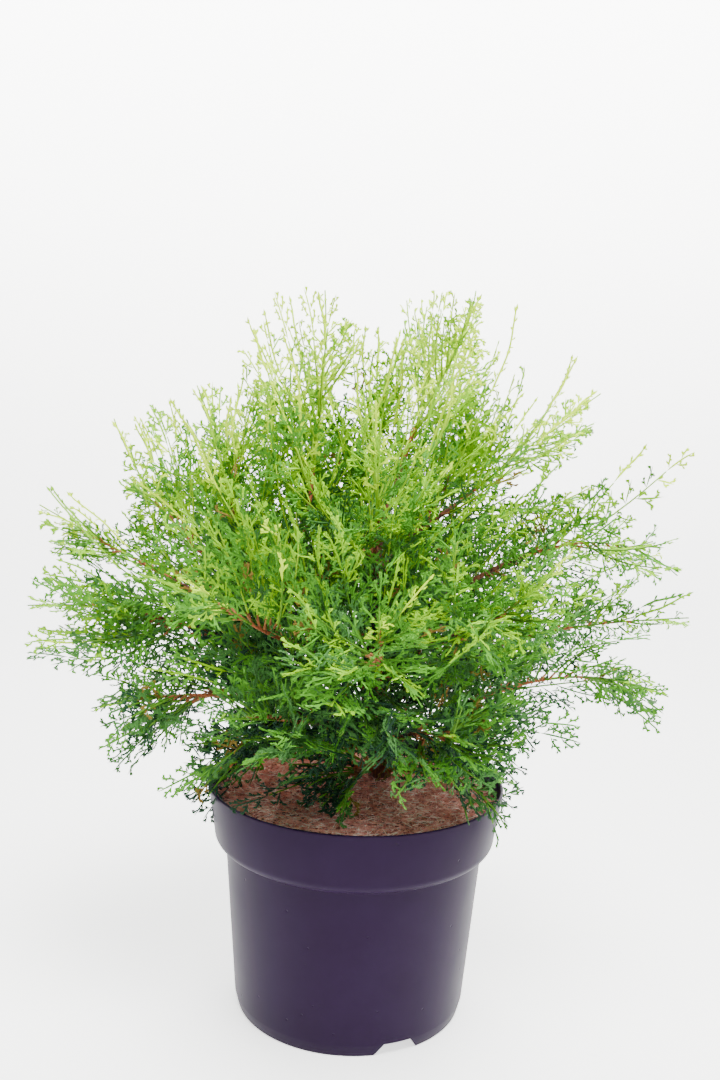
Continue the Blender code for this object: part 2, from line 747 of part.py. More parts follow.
def blade_mesh(blade, spray):
    """A copy of the blade, laid along its spray."""
    facing = spray.along.cross(spray.across).normalized()
    axes = (spray.along * spray.length, spray.across * spray.width, facing * SPRAY_THICKNESS)
    mesh = blade.copy()
    mesh.transform(Matrix.Translation(spray.root) @ Matrix(axes).transposed().to_4x4())
    return mesh


def make_mass(mass, stem, sites, limbs, blade, collection, finish):
    """One mass: its stem, twigs and blades fused into one body."""
    stem, leader = leading_spray(stem)
    sprays = choose_sprays(mass, stem, leader, sites, limbs)
    meshes = [blade_mesh(blade, spray) for spray in sprays]
    meshes += [twig_mesh(spray.foot, spray.tip) for spray in sprays[1:]]
    line = stem.thinned(STEM_RINGS)
    foliage = tube("foliage_" + mass.name, line, STEM_DETAIL, collection, finish)
    apply_boolean(foliage, "UNION", tool_collection("joining", meshes), solver="MANIFOLD")
    return foliage


def main():
    for obj in list(bpy.data.objects):
        bpy.data.objects.remove(obj)
    plant = bpy.data.collections.new("Dwarf_Hinoki_Cypress")
    bpy.context.scene.collection.children.link(plant)
    plastic = material("pot_plastic", (0.050, 0.032, 0.072), 0.42)
    peat = material("peat", (0.060, 0.032, 0.018), 0.95)
    fibre = material("coconut_fibre", (0.240, 0.110, 0.050), 0.90)
    bark = material("bark", (0.200, 0.075, 0.040), 0.85)
    leaf = material("scale_leaf", (0.130, 0.330, 0.050), 0.60)

    make_pot(plant, plastic)
    make_root_ball(plant, peat)
    make_fibre_disc(plant, fibre)
    trunk, boughs, stems, sites = plan_limbs()
    trunk_line = trunk.thinned(TRUNK_RINGS)
    bough_lines = {name: bough.thinned(BOUGH_RINGS) for name, bough in boughs.items()}
    make_trunk(trunk_line, plant, bark)
    make_boughs(trunk_line, bough_lines, plant, bark)
    limbs = Field(limb_places([trunk, *boughs.values()]))
    blade = spray_blade()
    for mass in MASSES:
        leaves_side = mass.name in MASSES_ON_THE_TRUNK and mass.share < 1
        stem = stems[mass.name]
        if not leaves_side:
            stem = stem.set_back_from(bough_lines.get(mass.name, trunk_line))
        foliage = make_mass(mass, stem, sites, limbs, blade, plant, leaf)
        if leaves_side:
            cut_by_limb(foliage, trunk_line, TRUNK_DETAIL)


main()
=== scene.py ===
"""The looks of a dwarf hinoki cypress about 0.6 m tall in its round plastic nursery pot, in metres."""

import json
import random
from math import atan2, ceil, cos, exp, hypot, inf, pi, radians, sin, tau
from typing import NamedTuple

import bmesh
import bpy
from mathutils import Matrix, Vector, noise

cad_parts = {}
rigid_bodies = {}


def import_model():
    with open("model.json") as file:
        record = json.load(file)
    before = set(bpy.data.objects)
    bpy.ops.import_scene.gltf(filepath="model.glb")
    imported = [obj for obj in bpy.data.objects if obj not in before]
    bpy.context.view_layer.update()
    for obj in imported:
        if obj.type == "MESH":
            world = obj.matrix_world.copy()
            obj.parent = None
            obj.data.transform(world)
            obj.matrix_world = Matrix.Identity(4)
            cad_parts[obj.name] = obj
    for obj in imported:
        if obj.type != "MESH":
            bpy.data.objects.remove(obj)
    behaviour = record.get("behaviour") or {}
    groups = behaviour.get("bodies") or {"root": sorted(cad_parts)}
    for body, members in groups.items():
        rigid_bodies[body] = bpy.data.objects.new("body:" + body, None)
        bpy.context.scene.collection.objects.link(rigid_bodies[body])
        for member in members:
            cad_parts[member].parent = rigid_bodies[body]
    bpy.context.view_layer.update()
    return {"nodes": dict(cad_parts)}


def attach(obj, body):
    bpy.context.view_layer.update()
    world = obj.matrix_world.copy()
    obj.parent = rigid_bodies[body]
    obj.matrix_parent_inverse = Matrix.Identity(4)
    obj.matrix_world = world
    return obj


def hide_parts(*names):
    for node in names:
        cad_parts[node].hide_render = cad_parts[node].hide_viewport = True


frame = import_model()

UP = Vector((0, 0, 1))
MM = 0.001
SEED = 4207

# The pot and what fills it, as in the solids
POT_HEIGHT = 0.200
RIM_RADIUS = 0.124
COLLAR_LOW_RADIUS = 0.1185
COLLAR_LOW_HEIGHT = 0.158
COLLAR_FOOT_HEIGHT = 0.148
BODY_TOP_RADIUS = 0.109
FOOT_BAND_RADIUS = 0.0990
FOOT_BAND_HEIGHT = 0.010
BASE_RADIUS = 0.0965
WALL = 0.0024
FOOT_WALL = 0.0029
FLOOR_RISE = 0.012
STANDING_RADIUS = 0.045
POT_SIDES = 144
NOTCHES = 2
NOTCH_COMPASS = -66.0
NOTCH_LOW_WIDTH = 0.042
NOTCH_TOP_WIDTH = 0.0235
NOTCH_HEIGHT = 0.0108
DRAIN_HOLES = 6
DRAIN_RADIUS = 0.005
DRAIN_CIRCLE = 0.070
DRAIN_COMPASS = 20.0
ROOT_BALL_TOP = 0.181
MAT_EDGE_TOP = 0.1895
MAT_MIDDLE_TOP = 0.1955
FIBRES = 5200
FIBRE_MODELS = 6
MAT_RINGS = 44
MAT_SIDES = 160
MAT_FLAT_SHARE = 0.93
MAT_LUMP_GAP = 14 * MM
MAT_LUMP_HEIGHT = 1.6 * MM

# The trunk and the limbs, as in the solids
TRUNK_ROUTE = (
    (0.022, 0.025, ROOT_BALL_TOP - 0.015),
    (0.018, 0.018, 0.240),
    (0.010, 0.012, 0.310),
    (0.009, 0.006, 0.390),
    (0.028, 0.004, 0.470),
)
TRUNK_LOW_RADIUS = 0.0085
TRUNK_TIP_RADIUS = 0.0026
TRUNK_TAPER = 0.85
ROOT_FLARE = 0.0065
FLARE_HEIGHT = 0.014
TRUNK_STEPS = 28
BOUGH_SHARE = 0.55
STEM_TIP_RADIUS = 0.0009
BARK_STRIP_WIDTH = 2.2 * MM
BARK_STRIP_LENGTH = 11 * MM
LIMB_TAPER = 1.3
LIMB_STEPS = 40
HANDLE = 0.38
SHORTEST_BOUGH = 0.22
STEMS_ON_THE_TRUNK = ("top_right", "low_back", "inner_", "skirt_")  # how their names start
SITE_SHARE = 0.73
MASS_RADIUS = 0.128
SPACE_MARGIN = 0.0016

# Inside the masses the stems are slimmer than in the solids, and soon green
STEM_SLIMMING = 0.62
SLIMMING_STEPS = 6
BARKED_SHARE = 0.33
YOUNG_BARKED_SHARE = 0.165
YOUNG_STEM_HEIGHT = 0.49
WOODY_HEIGHT = 0.43
PALE_HEIGHT = 0.42

# How far the foliage reaches, and how far it goes over into its neighbours' spaces
CROWN_MIDDLE = Vector((0.010, 0.010, 0.310))
CROWN_HALF = (0.26, 0.21, 0.29)
CROWN_TOP = 0.603
TOP_REACH = 0.104
LOW_MASS_HEIGHT = 0.32
LOW_HANG = 0.046
FAN_EXTENT = 0.74
WHIP_FOOT_EXTENT = 0.5
STEM_OVERREACH = 8 * MM
BOUGH_OVERREACH = 60 * MM
LEADER_OVERREACH = 6 * MM
TWIG_MARGIN = 8 * MM

# Twigs, by the rule of the solids
GOLDEN_ANGLE = radians(137.508)
GOLDEN_SHARE = 0.618034
TURN_STRAY = 0.3
STEM_BARE = 0.05
STEM_TOP = 0.97
BOUGH_BARE = 0.30
TWIGS_A_STEM = 24
TWIGS_A_BOUGH = 13
TWIG_LEANS = (46, 66)
TWIG_CLOSING = 22
FACING_UP = 0.5
FACING_STRAY = 1.3
LIGHT_LIFT = 0.28
TWIG_SAG = 0.18
TWIG_CURVE = 0.22
TWIG_SWAY = 0.14
DROOPING_HEIGHT = 0.30
TWIG_LENGTH = 0.134
BOUGH_TWIG_SHARE = 0.8
LENGTH_CLOSING = 0.76
SPRAY_CLOSING = 0.58
TWIG_STEPS = 7
TWIG_RADIUS = 0.00095
TWIG_TIP_RADIUS = 0.0005

# Fans of sprays along a twig, and long leading whips, more of them near the tips and the top
SHOOT_WIDTH = 1.9 * MM
WHIP_WIDTH = 2.0 * MM
WHIP_TIP_WIDTH = 2.4 * MM
AXIS_STEP = 8 * MM
WHIP_STEP = 9 * MM
BRANCHLET_GAP = 5.7 * MM
BRANCHLET_BEND = 0.42
BRANCHLET_REACHES = (4 * MM, 19 * MM)
SHOOT_GAP = 3.9 * MM
FORKED_SHOOT = 4.1 * MM
FORKED_TUFT = 5 * MM
TUFT_GAP = 7 * MM
FAN_GAP = 8.5 * MM
FAN_LENGTHS = (46 * MM, 38 * MM, 30 * MM, 23 * MM, 16 * MM)
WHIP_LENGTHS = (78 * MM, 58 * MM, 40 * MM)
MODELS_A_LENGTH = 16
FIRST_FAN = 0.16
LAST_FAN = 0.95
SHORTEST_FAN = 8 * MM
FAN_CUTS = (1, 0.72, 0.5)
TIP_WHIPS = (74, 56, 40)
TIP_FANS = (38, 28, 18)
WHIP_HEIGHT = 0.3
WHIP_CHANCE = 0.2
TIP_WHIP_CHANCE = 0.55
TOP_WHIP_CHANCE = 0.3
TOP_WHIP_HEIGHT = 0.48
LONG_LEADER_HEIGHT = 0.22
LEADER_TUFTED = 75 * MM
LEADER_TUFT_GAP = 8 * MM
LEADER_WHIP = 45 * MM
PIECE_TRIANGLES = 190_000

# The tints of the sprays, each with the least light that it takes, and what the light depends on: the
# tints are painted light and shade
TINTS = {
    "lime": ("#C4E612", 0.84),
    "light": ("#80B410", 0.67),
    "middle": ("#4E8826", 0.48),
    "deep": ("#3C6830", 0.29),
    "shade": ("#1F3C28", -inf),
    "dead": ("#76622C", inf),
}
LEAST_LIGHT = 0.04
LIGHT_OUTWARD = 0.32
LIGHT_UPWARD = 0.61
LIGHT_FACING = 0.04
LIGHT_STRAY = 0.17
LEADING_LIGHT = 0.12
DEAD_SHARE = 0.025
DEAD_WITHIN = 0.8


class Mass(NamedTuple):
    """A mass of foliage: how far along its carrier its limb leaves, where its furthest tip is, how
    steeply the limb rises at both ends, in degrees, and its count of twigs against the rule, which
    is under 1 where the photo shows more gaps."""

    name: str
    share: float
    compass: float
    reach: float
    height: float
    launch: float
    finish: float
    twigs: float = 1
    carrier: str = "trunk"


MASSES = tuple(Mass(*row) for row in (
    ("top_right", 1.00, 353, 0.078, 0.602, 76, 84, 0.8),
    ("top_left", 0.30, 195, 0.040, 0.598, 22, 84, 0.95),
    ("top_back", 0.52, 86, 0.080, 0.575, 40, 78, 1.25),
    ("upper_left", 0.26, 193, 0.137, 0.523, 35, 66, 1, "top_left"),
    ("upper_right", 0.74, 357, 0.180, 0.528, 35, 38, 0.8),
    ("upper_front", 0.64, 272, 0.140, 0.505, 30, 52),
    ("upper_back_right", 0.70, 46, 0.172, 0.508, 35, 50, 0.8),
    ("upper_back_left", 0.60, 132, 0.163, 0.502, 35, 52, 1.25),
    ("far_left_high", 0.47, 180, 0.203, 0.494, 25, 70, 1.2),
    ("left", 0.38, 183, 0.260, 0.425, 28, 30, 0.95),
    ("front_left", 0.42, 234, 0.212, 0.405, 25, 40),
    ("front", 0.35, 272, 0.210, 0.390, 25, 36),
    ("front_right", 0.45, 305, 0.212, 0.410, 28, 40),
    ("right_arch", 0.50, 0, 0.256, 0.384, 42, -40, 0.6),
    ("back_right", 0.40, 40, 0.230, 0.418, 30, 38, 0.55),
    ("back", 0.44, 92, 0.205, 0.430, 30, 44, 1.25),
    ("back_left", 0.41, 140, 0.228, 0.415, 28, 38, 1.2),
    ("low_left", 0.26, 185, 0.269, 0.345, 32, -4, 1.35),
    ("lower_left", 0.175, 192, 0.218, 0.268, 34, -12, 1.2),
    ("low_front_left", 0.23, 236, 0.188, 0.298, 22, 14, 1.15),
    ("low_front_right", 0.20, 294, 0.190, 0.290, 24, 8, 1.1),
    ("right", 0.29, 357, 0.265, 0.352, 46, 6, 0.45),
    ("lower_right", 0.18, 351, 0.250, 0.292, 36, -20, 1.05),
    ("low_back_right", 0.22, 48, 0.218, 0.305, 30, 14, 1.15),
    ("low_back", 0.25, 100, 0.196, 0.300, 28, 14),
    ("low_back_left", 0.215, 142, 0.214, 0.295, 28, 12, 1.4),
    ("inner_left", 0.512, 214, 0.118, 0.420, 42, 50, 1.2),
    ("inner_front", 0.275, 262, 0.110, 0.345, 25, 36),
    ("inner_right", 0.385, 335, 0.125, 0.390, 34, 44, 1.2),
    ("inner_back", 0.315, 75, 0.110, 0.365, 25, 40, 1.3),
    ("skirt_left", 0.120, 200, 0.150, 0.206, 16, -30, 2.1),
    ("skirt_front", 0.150, 262, 0.108, 0.212, 10, -14, 1.5),
    ("skirt_right", 0.122, 322, 0.148, 0.196, 16, -46, 0.9),
))

# The camera, from the ellipses of the pot's rim, collar and foot in the photo
LENS = 39.3
FRAME_HEIGHT = 36.0
SHIFT_Y = 0.0641
CAMERA_PLACE = Vector((-0.0161, -0.9469, 0.5465))
CAMERA_PITCH = radians(90 - 11.92)
CAMERA_ROLL = radians(2.20)
CAMERA_YAW = radians(-0.84)


def linear(code):
    """Linear RGBA from an sRGB hex colour."""
    channels = [int(code[i : i + 2], 16) / 255 for i in (1, 3, 5)]
    return (*(c / 12.92 if c <= 0.04045 else ((c + 0.055) / 1.055) ** 2.4 for c in channels), 1)


def fill_inputs(tree, node, inputs):
    """Sets a node's inputs to values, or links them from sockets or from nodes, which give the
    first of their outputs that is in use."""
    for name, value in inputs.items():
        if isinstance(value, bpy.types.Node):
            value = next(output for output in value.outputs if output.enabled)
        if isinstance(value, bpy.types.NodeSocket):
            tree.links.new(value, node.inputs[name])
        else:
            node.inputs[name].default_value = value


def add_node(tree, kind, inputs=None, stops=(), **settings):
    """Adds a node with these inputs and properties. stops are a ramp's (place, hex colour)."""
    node = tree.nodes.new(kind)
    for name, value in settings.items():
        setattr(node, name, value)
    fill_inputs(tree, node, inputs or {})
    for index, (place, code) in enumerate(stops):
        ramp = node.color_ramp.elements
        stop = ramp[index] if index < len(ramp) else ramp.new(place)
        stop.position, stop.color = place, linear(code)
    return node


def start_material(name, values):
    """A new Principled material with these socket values: its tree, shader and coordinates."""
    made = bpy.data.materials.new(name)
    made.use_nodes = True
    tree = made.node_tree
    shader = tree.nodes["Principled BSDF"]
    fill_inputs(tree, shader, values)
    return made, tree, shader, add_node(tree, "ShaderNodeTexCoord").outputs["Object"]


def fibrous_material(name, roughness, grain, stops, relief, upright=None):
    """A matt material whose colours and relief follow one grain. grain holds the noise's inputs,
    relief the bump's, and upright is the grain's scale along Z, for upright fibres."""
    made, tree, shader, place = start_material(name, {"Roughness": roughness})
    if upright:
        place = add_node(tree, "ShaderNodeMapping", {"Vector": place, "Scale": (1, 1, upright)})
    fibres = add_node(tree, "ShaderNodeTexNoise", {"Vector": place, **grain})
    brown = add_node(tree, "ShaderNodeValToRGB", {"Fac": fibres}, stops)
    skin = add_node(tree, "ShaderNodeBump", {"Height": fibres, **relief})
    fill_inputs(tree, shader, {"Base Color": brown, "Normal": skin})
    return made


def moulded_polypropylene():
    """Injection-moulded polypropylene, dyed a dark aubergine: a satin skin that shows a soft
    sheen at its sides, fine pits from the tool and slight changes of gloss from handling."""
    made, tree, shader, place = start_material(
        "injection_moulded_polypropylene", {"IOR": 1.49, "Specular IOR Level": 0.055}
    )
    # The gloss changes over about 45 mm, and the pits are about 17 mm apart
    cloud = add_node(tree, "ShaderNodeTexNoise", {"Vector": place, "Scale": 22.0, "Detail": 3.0})
    dye = add_node(tree, "ShaderNodeValToRGB", {"Fac": cloud}, ((0.3, "#1C0D26"), (0.7, "#1F112A")))
    gloss = add_node(tree, "ShaderNodeMapRange", {"Value": cloud, "To Min": 0.34, "To Max": 0.46})
    pits = add_node(tree, "ShaderNodeTexVoronoi", {"Vector": place, "Scale": 1 / (17 * MM)})
    depth = add_node(tree, "ShaderNodeMapRange", {"Value": pits, "From Min": 0.04, "From Max": 0.07})
    skin = add_node(tree, "ShaderNodeBump", {"Height": depth, "Strength": 0.8, "Distance": 0.4 * MM})
    fill_inputs(tree, shader, {"Base Color": dye, "Roughness": gloss, "Normal": skin})
    return made


def moist_peat():
    """Moist peat compost: dark brown crumbs of about 4 mm with paler wood fibres, quite matt."""
    stops = ((0.35, "#1C120B"), (0.6, "#3A2415"), (0.8, "#5A3C24"))
    grain, relief = {"Scale": 1 / (4 * MM), "Detail": 5.0}, {"Strength": 0.9, "Distance": 1.5 * MM}
    return fibrous_material("moist_peat", 0.95, grain, stops, relief)


def matted_coir(name, dark, pale):
    """Coir, the husk fibre of the coconut: matt, with a red-brown that changes from fibre to
    fibre. The change is drawn over 5 mm, coarser than a fibre is thick, so that it shows."""
    grain, relief = {"Scale": 1 / (5 * MM), "Detail": 4.0}, {"Strength": 0.5, "Distance": 0.5 * MM}
    return fibrous_material(name, 0.85, grain, ((0.35, dark), (0.65, pale)), relief)


def stringy_bark(name, dark, middle, pale):
    """Cypress bark: thin and stringy, a red-brown that is paler on its raised strips, which are
    about 2 mm wide and four or five times as long."""
    grain = {"Scale": 1 / BARK_STRIP_WIDTH, "Detail": 4.0, "Roughness": 0.6}
    stops = ((0.3, dark), (0.5, middle), (0.72, pale))
    return fibrous_material(name, 0.82, grain, stops, {"Strength": 0.8, "Distance": 0.6 * MM}, 0.22)


def waxy_scale_leaf(name, colour, roughness=0.5):
    """Scale leaves pressed to their shoot: a waxy skin with a weak gloss, and small ridges where
    each pair of leaves, about 1.6 mm long, overlaps the next."""
    values = {"Base Color": linear(colour), "Roughness": roughness, "IOR": 1.45}
    made, tree, shader, place = start_material(name, {**values, "Specular IOR Level": 0.1})
    scales = add_node(tree, "ShaderNodeTexVoronoi", {"Vector": place, "Scale": 1 / (1.6 * MM)})
    skin = add_node(tree, "ShaderNodeBump", {"Height": scales, "Strength": 0.5, "Distance": 0.3 * MM})
    fill_inputs(tree, shader, {"Normal": skin})
    return made


def compass_vector(degrees):
    """The level unit vector in a compass direction, 0 to the viewer's right, 90 away."""
    return Vector((cos(radians(degrees)), sin(radians(degrees)), 0))


def add_object(name, data, collection=None):
    """Links a new object for this mesh or curve."""
    obj = bpy.data.objects.new(name, data)
    (collection or bpy.context.scene.collection).objects.link(obj)
    return obj


def mesh_from(shape, name):
    """A mesh of what was made in bmesh, which is freed."""
    mesh = bpy.data.meshes.new(name)
    shape.to_mesh(mesh)
    shape.free()
    return mesh


def plain_mesh(obj, weld=0.0):
    """Turns an object into the mesh that its modifiers or bevel give, and drops them."""
    bpy.context.view_layer.update()
    graph = bpy.context.evaluated_depsgraph_get()
    mesh = bpy.data.meshes.new_from_object(obj.evaluated_get(graph))
    if weld:
        shape = bmesh.new()
        shape.from_mesh(mesh)
        bmesh.ops.remove_doubles(shape, verts=shape.verts, dist=weld)
        shape.to_mesh(mesh)
        shape.free()
    name, users = obj.name, obj.users_collection[0]
    bpy.data.objects.remove(obj)
    mesh.name = name
    return add_object(name, mesh, users)


def finish_piece(piece, nodes, material=None, smooth=True):
    """Makes a finished piece ride on the part, stand for its nodes, and take its material."""
    if material:
        piece.data.materials.clear()
        piece.data.materials.append(material)
    if smooth:
        piece.data.shade_smooth()
    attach(piece, "root")
    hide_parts(*nodes)


def add_collection(name, meshes):
    """A collection with an object for each mesh, named in their order."""
    made = bpy.data.collections.new(name)
    bpy.context.scene.collection.children.link(made)
    for number, mesh in enumerate(meshes):
        add_object(f"{name}_{number:03d}", mesh, made)
    return made


def drop_collection(collection):
    """Removes a collection and its objects."""
    for obj in list(collection.objects):
        bpy.data.objects.remove(obj)
    bpy.data.collections.remove(collection)


def start_tree(name, kinds):
    """A Geometry Nodes tree with these inputs, by name and kind, and the sockets they come from."""
    tree = bpy.data.node_groups.new(name, "GeometryNodeTree")
    for socket, kind in kinds.items():
        tree.interface.new_socket(socket, in_out="INPUT", socket_type="NodeSocket" + kind)
    tree.interface.new_socket("Laid models", in_out="OUTPUT", socket_type="NodeSocketGeometry")
    return tree, add_node(tree, "NodeGroupInput").outputs


def end_tree(tree, given, turn, placing):
    """Ends a tree: one of the given models on each point, made real, in the given material."""
    models = {"Collection": given["Models"], "Separate Children": True}
    placing["Instance"] = add_node(tree, "GeometryNodeCollectionInfo", models)
    placing["Rotation"] = add_node(tree, "FunctionNodeEulerToRotation", {"Euler": turn})
    laid = add_node(tree, "GeometryNodeInstanceOnPoints", {"Pick Instance": True, **placing})
    real = add_node(tree, "GeometryNodeRealizeInstances", {"Geometry": laid})
    dressed = {"Geometry": real, "Material": given["Material"]}
    dressed = add_node(tree, "GeometryNodeSetMaterial", dressed)
    add_node(tree, "NodeGroupOutput", {"Laid models": dressed})
    return tree


def through_nodes(piece, tree, values):
    """The plain mesh that a Geometry Nodes tree makes of a piece, with these values by name."""
    modifier = piece.modifiers.new("Models", "NODES")
    modifier.node_group = tree
    for socket in tree.interface.items_tree:
        if socket.name in values:
            modifier[socket.identifier] = values[socket.name]
    return plain_mesh(piece)


def add_bands(shape, rows, turned=False):
    """Quads between closed rows of vertices, and whether they turn the other way round."""
    for first, second in zip(rows, rows[1:]):
        for number in range(len(first)):
            after = (number + 1) % len(first)
            corners = (first[number], first[after], second[after], second[number])
            shape.faces.new((corners[0], *corners[:0:-1]) if turned else corners)


def pot_inner_radius(height):
    """The radius of the pot's inner wall at a height above its floor."""
    stations = (
        (FLOOR_RISE, FOOT_BAND_RADIUS - WALL),
        (COLLAR_FOOT_HEIGHT, BODY_TOP_RADIUS - WALL),
        (COLLAR_LOW_HEIGHT, COLLAR_LOW_RADIUS - WALL),
        (POT_HEIGHT, RIM_RADIUS - WALL),
    )
    for (low, inner), (high, outer) in zip(stations, stations[1:]):
        if height <= high:
            return inner + (outer - inner) * (height - low) / (high - low)
    return stations[-1][1]


def arc(middle, radius, start, end, steps):
    """Points on an arc in the profile plane, by angle in degrees."""
    angles = [radians(start + (end - start) * step / steps) for step in range(steps + 1)]
    return [(middle[0] + radius * cos(a), middle[1] + radius * sin(a)) for a in angles]


def drain_cutter(compass):
    """A round cutter through the pot's floor."""
    place = DRAIN_CIRCLE * compass_vector(compass) + UP * (FLOOR_RISE + WALL / 2)
    shape = bmesh.new()
    bmesh.ops.create_cone(
        shape, segments=24, cap_ends=True, radius1=DRAIN_RADIUS, radius2=DRAIN_RADIUS,
        depth=4 * WALL, matrix=Matrix.Translation(place),
    )
    return mesh_from(shape, "drain_cutter")


def notch_cutter(compass):
    """A wedge through the foot's skirt, wider at the ground than at its top."""
    depth = 4 * FOOT_WALL
    shape = bmesh.new()
    bmesh.ops.create_cube(shape, size=1)
    for vert in shape.verts:
        high = vert.co.z > 0
        width = NOTCH_TOP_WIDTH if high else NOTCH_LOW_WIDTH
        height = NOTCH_HEIGHT if high else -WALL
        vert.co = Vector((vert.co.x * depth + BASE_RADIUS, vert.co.y * width, height))
    turn = Matrix.Rotation(radians(compass), 3, "Z")
    bmesh.ops.rotate(shape, verts=shape.verts, cent=(0, 0, 0), matrix=turn)
    return mesh_from(shape, "notch_cutter")


def make_pot(material):
    """The pot, turned finely, with a rounded lip, a rolled collar and the notches in its foot."""
    floor = FLOOR_RISE + WALL
    step = COLLAR_LOW_HEIGHT - COLLAR_FOOT_HEIGHT
    lip = WALL / 2
    inner = [
        (0, WALL),
        (STANDING_RADIUS - 1 * MM - WALL, WALL),
        (STANDING_RADIUS - WALL, floor),
        (pot_inner_radius(floor) - 2 * MM, floor),
        (pot_inner_radius(floor), floor + 2 * MM),
    ]
    for height in (COLLAR_FOOT_HEIGHT, COLLAR_LOW_HEIGHT, POT_HEIGHT - lip):
        inner.append((pot_inner_radius(height), height))
    outer = arc((RIM_RADIUS - lip, POT_HEIGHT - lip), lip, 180, 0, 8)[1:]
    outer += arc((COLLAR_LOW_RADIUS - step, COLLAR_LOW_HEIGHT), step, 0, -80, 10)
    outer += [
        (BODY_TOP_RADIUS, COLLAR_FOOT_HEIGHT - 0.5 * MM),
        (BODY_TOP_RADIUS - 0.3 * MM, COLLAR_FOOT_HEIGHT - 3 * MM),
        (FOOT_BAND_RADIUS + 0.15 * MM, FOOT_BAND_HEIGHT + 1.5 * MM),
        (FOOT_BAND_RADIUS - 0.3 * MM, FOOT_BAND_HEIGHT),
        (BASE_RADIUS + 0.15 * MM, 1.5 * MM),
        (BASE_RADIUS - 0.3 * MM, 0.5 * MM),
        (BASE_RADIUS - 1 * MM, 0),
        (BASE_RADIUS - FOOT_WALL, 0),
        (BASE_RADIUS - FOOT_WALL, FLOOR_RISE),
        (STANDING_RADIUS, FLOOR_RISE),
        (STANDING_RADIUS - 1 * MM, 0),
        (0, 0),
    ]
    shape = bmesh.new()
    points = [shape.verts.new((radius, 0, height)) for radius, height in inner + outer]
    for first, second in zip(points, points[1:]):
        shape.edges.new((first, second))
    pot = add_object("nursery_pot", mesh_from(shape, "nursery_pot"))
    screw = pot.modifiers.new("Turn", "SCREW")
    screw.steps = screw.render_steps = POT_SIDES
    screw.use_merge_vertices = True
    screw.merge_threshold = 0.01 * MM
    pot = plain_mesh(pot, weld=0.01 * MM)
    cutters = [notch_cutter(NOTCH_COMPASS + 360 / NOTCHES * number) for number in range(NOTCHES)]
    cutters += [drain_cutter(DRAIN_COMPASS + 360 / DRAIN_HOLES * n) for n in range(DRAIN_HOLES)]
    tools = add_collection("pot_cutters", cutters)
    cut = pot.modifiers.new("Holes", "BOOLEAN")
    cut.operation, cut.solver = "DIFFERENCE", "EXACT"
    cut.operand_type, cut.collection = "COLLECTION", tools
    edges = pot.modifiers.new("Edges", "BEVEL")
    edges.width, edges.segments = 0.3 * MM, 2
    edges.limit_method, edges.angle_limit = "ANGLE", radians(50)
    pot = plain_mesh(pot)
    drop_collection(tools)
    pot.data.shade_smooth()
    pot.data.set_sharp_from_angle(angle=radians(38))
    finish_piece(pot, ["pot"], material, smooth=False)


def smooth_route(points, steps):
    """Points evenly spaced by parameter on a Catmull-Rom curve through the given ones."""
    points = [Vector(point) for point in points]
    ends = [2 * points[0] - points[1], *points, 2 * points[-1] - points[-2]]
    route = []
    for step in range(steps + 1):
        place = step / steps * (len(points) - 1)
        span = min(int(place), len(points) - 2)
        t = place - span
        a, b, c, d = ends[span : span + 4]
        cubic = (3 * b - a - 3 * c + d) * t**3
        route.append(0.5 * (2 * b + (c - a) * t + (2 * a - 5 * b + 4 * c - d) * t**2 + cubic))
    return route


def bezier(start, first, second, end, t):
    """A point on a cubic Bezier curve."""
    s = 1 - t
    return s**3 * start + 3 * s**2 * t * first + 3 * s * t**2 * second + t**3 * end


class Limb:
    """A tapering limb's centre line, as points with a radius each."""

    def __init__(self, points, radii):
        self.points = points
        self.radii = radii

    def at(self, share):
        """The place and radius at a share of its length in steps."""
        place = share * (len(self.points) - 1)
        low = min(int(place), len(self.points) - 2)
        t = place - low
        point = self.points[low].lerp(self.points[low + 1], t)
        return point, self.radii[low] * (1 - t) + self.radii[low + 1] * t

    def direction(self, share):
        """The way it runs at a share of its length in steps."""
        low = min(int(share * (len(self.points) - 1)), len(self.points) - 2)
        return (self.points[low + 1] - self.points[low]).normalized()

    def part(self, low, high):
        """The limb between two of its points."""
        return Limb(self.points[low : high + 1], self.radii[low : high + 1])

    def length(self):
        """Its length along its points."""
        return sum((b - a).length for a, b in zip(self.points, self.points[1:]))


def trunk_limb():
    """The trunk, with its root flare and true taper, from where it meets the ground."""
    points = smooth_route(TRUNK_ROUTE, TRUNK_STEPS)
    radii = []
    for step, point in enumerate(points):
        taper = (step / TRUNK_STEPS) ** TRUNK_TAPER
        flare = ROOT_FLARE * exp(-max(0, point.z - ROOT_BALL_TOP) / FLARE_HEIGHT)
        radii.append(TRUNK_LOW_RADIUS + (TRUNK_TIP_RADIUS - TRUNK_LOW_RADIUS) * taper + flare)
    return Limb(points, radii)


def tip_of(mass):
    """The furthest tip of a mass."""
    return mass.reach * compass_vector(mass.compass) + mass.height * UP


def whole_limb(mass, carrier):
    """The line of a bough and of the stem that goes on from it, from its carrier to its tip."""
    start, carrier_radius = carrier.at(mass.share)
    tip = tip_of(mass)
    level = Vector((tip.x - start.x, tip.y - start.y, 0)).normalized()
    rises = (radians(mass.launch), radians(mass.finish))
    leave, arrive = (level * cos(rise) + UP * sin(rise) for rise in rises)
    handle = (tip - start).length * HANDLE
    thick = carrier_radius if mass.share == 1 else carrier_radius * BOUGH_SHARE
    points, radii = [], []
    for step in range(LIMB_STEPS + 1):
        t = step / LIMB_STEPS
        points.append(bezier(start, start + leave * handle, tip - arrive * handle, tip, t))
        radii.append(STEM_TIP_RADIUS + (thick - STEM_TIP_RADIUS) * (1 - t) ** LIMB_TAPER)
    return Limb(points, radii)


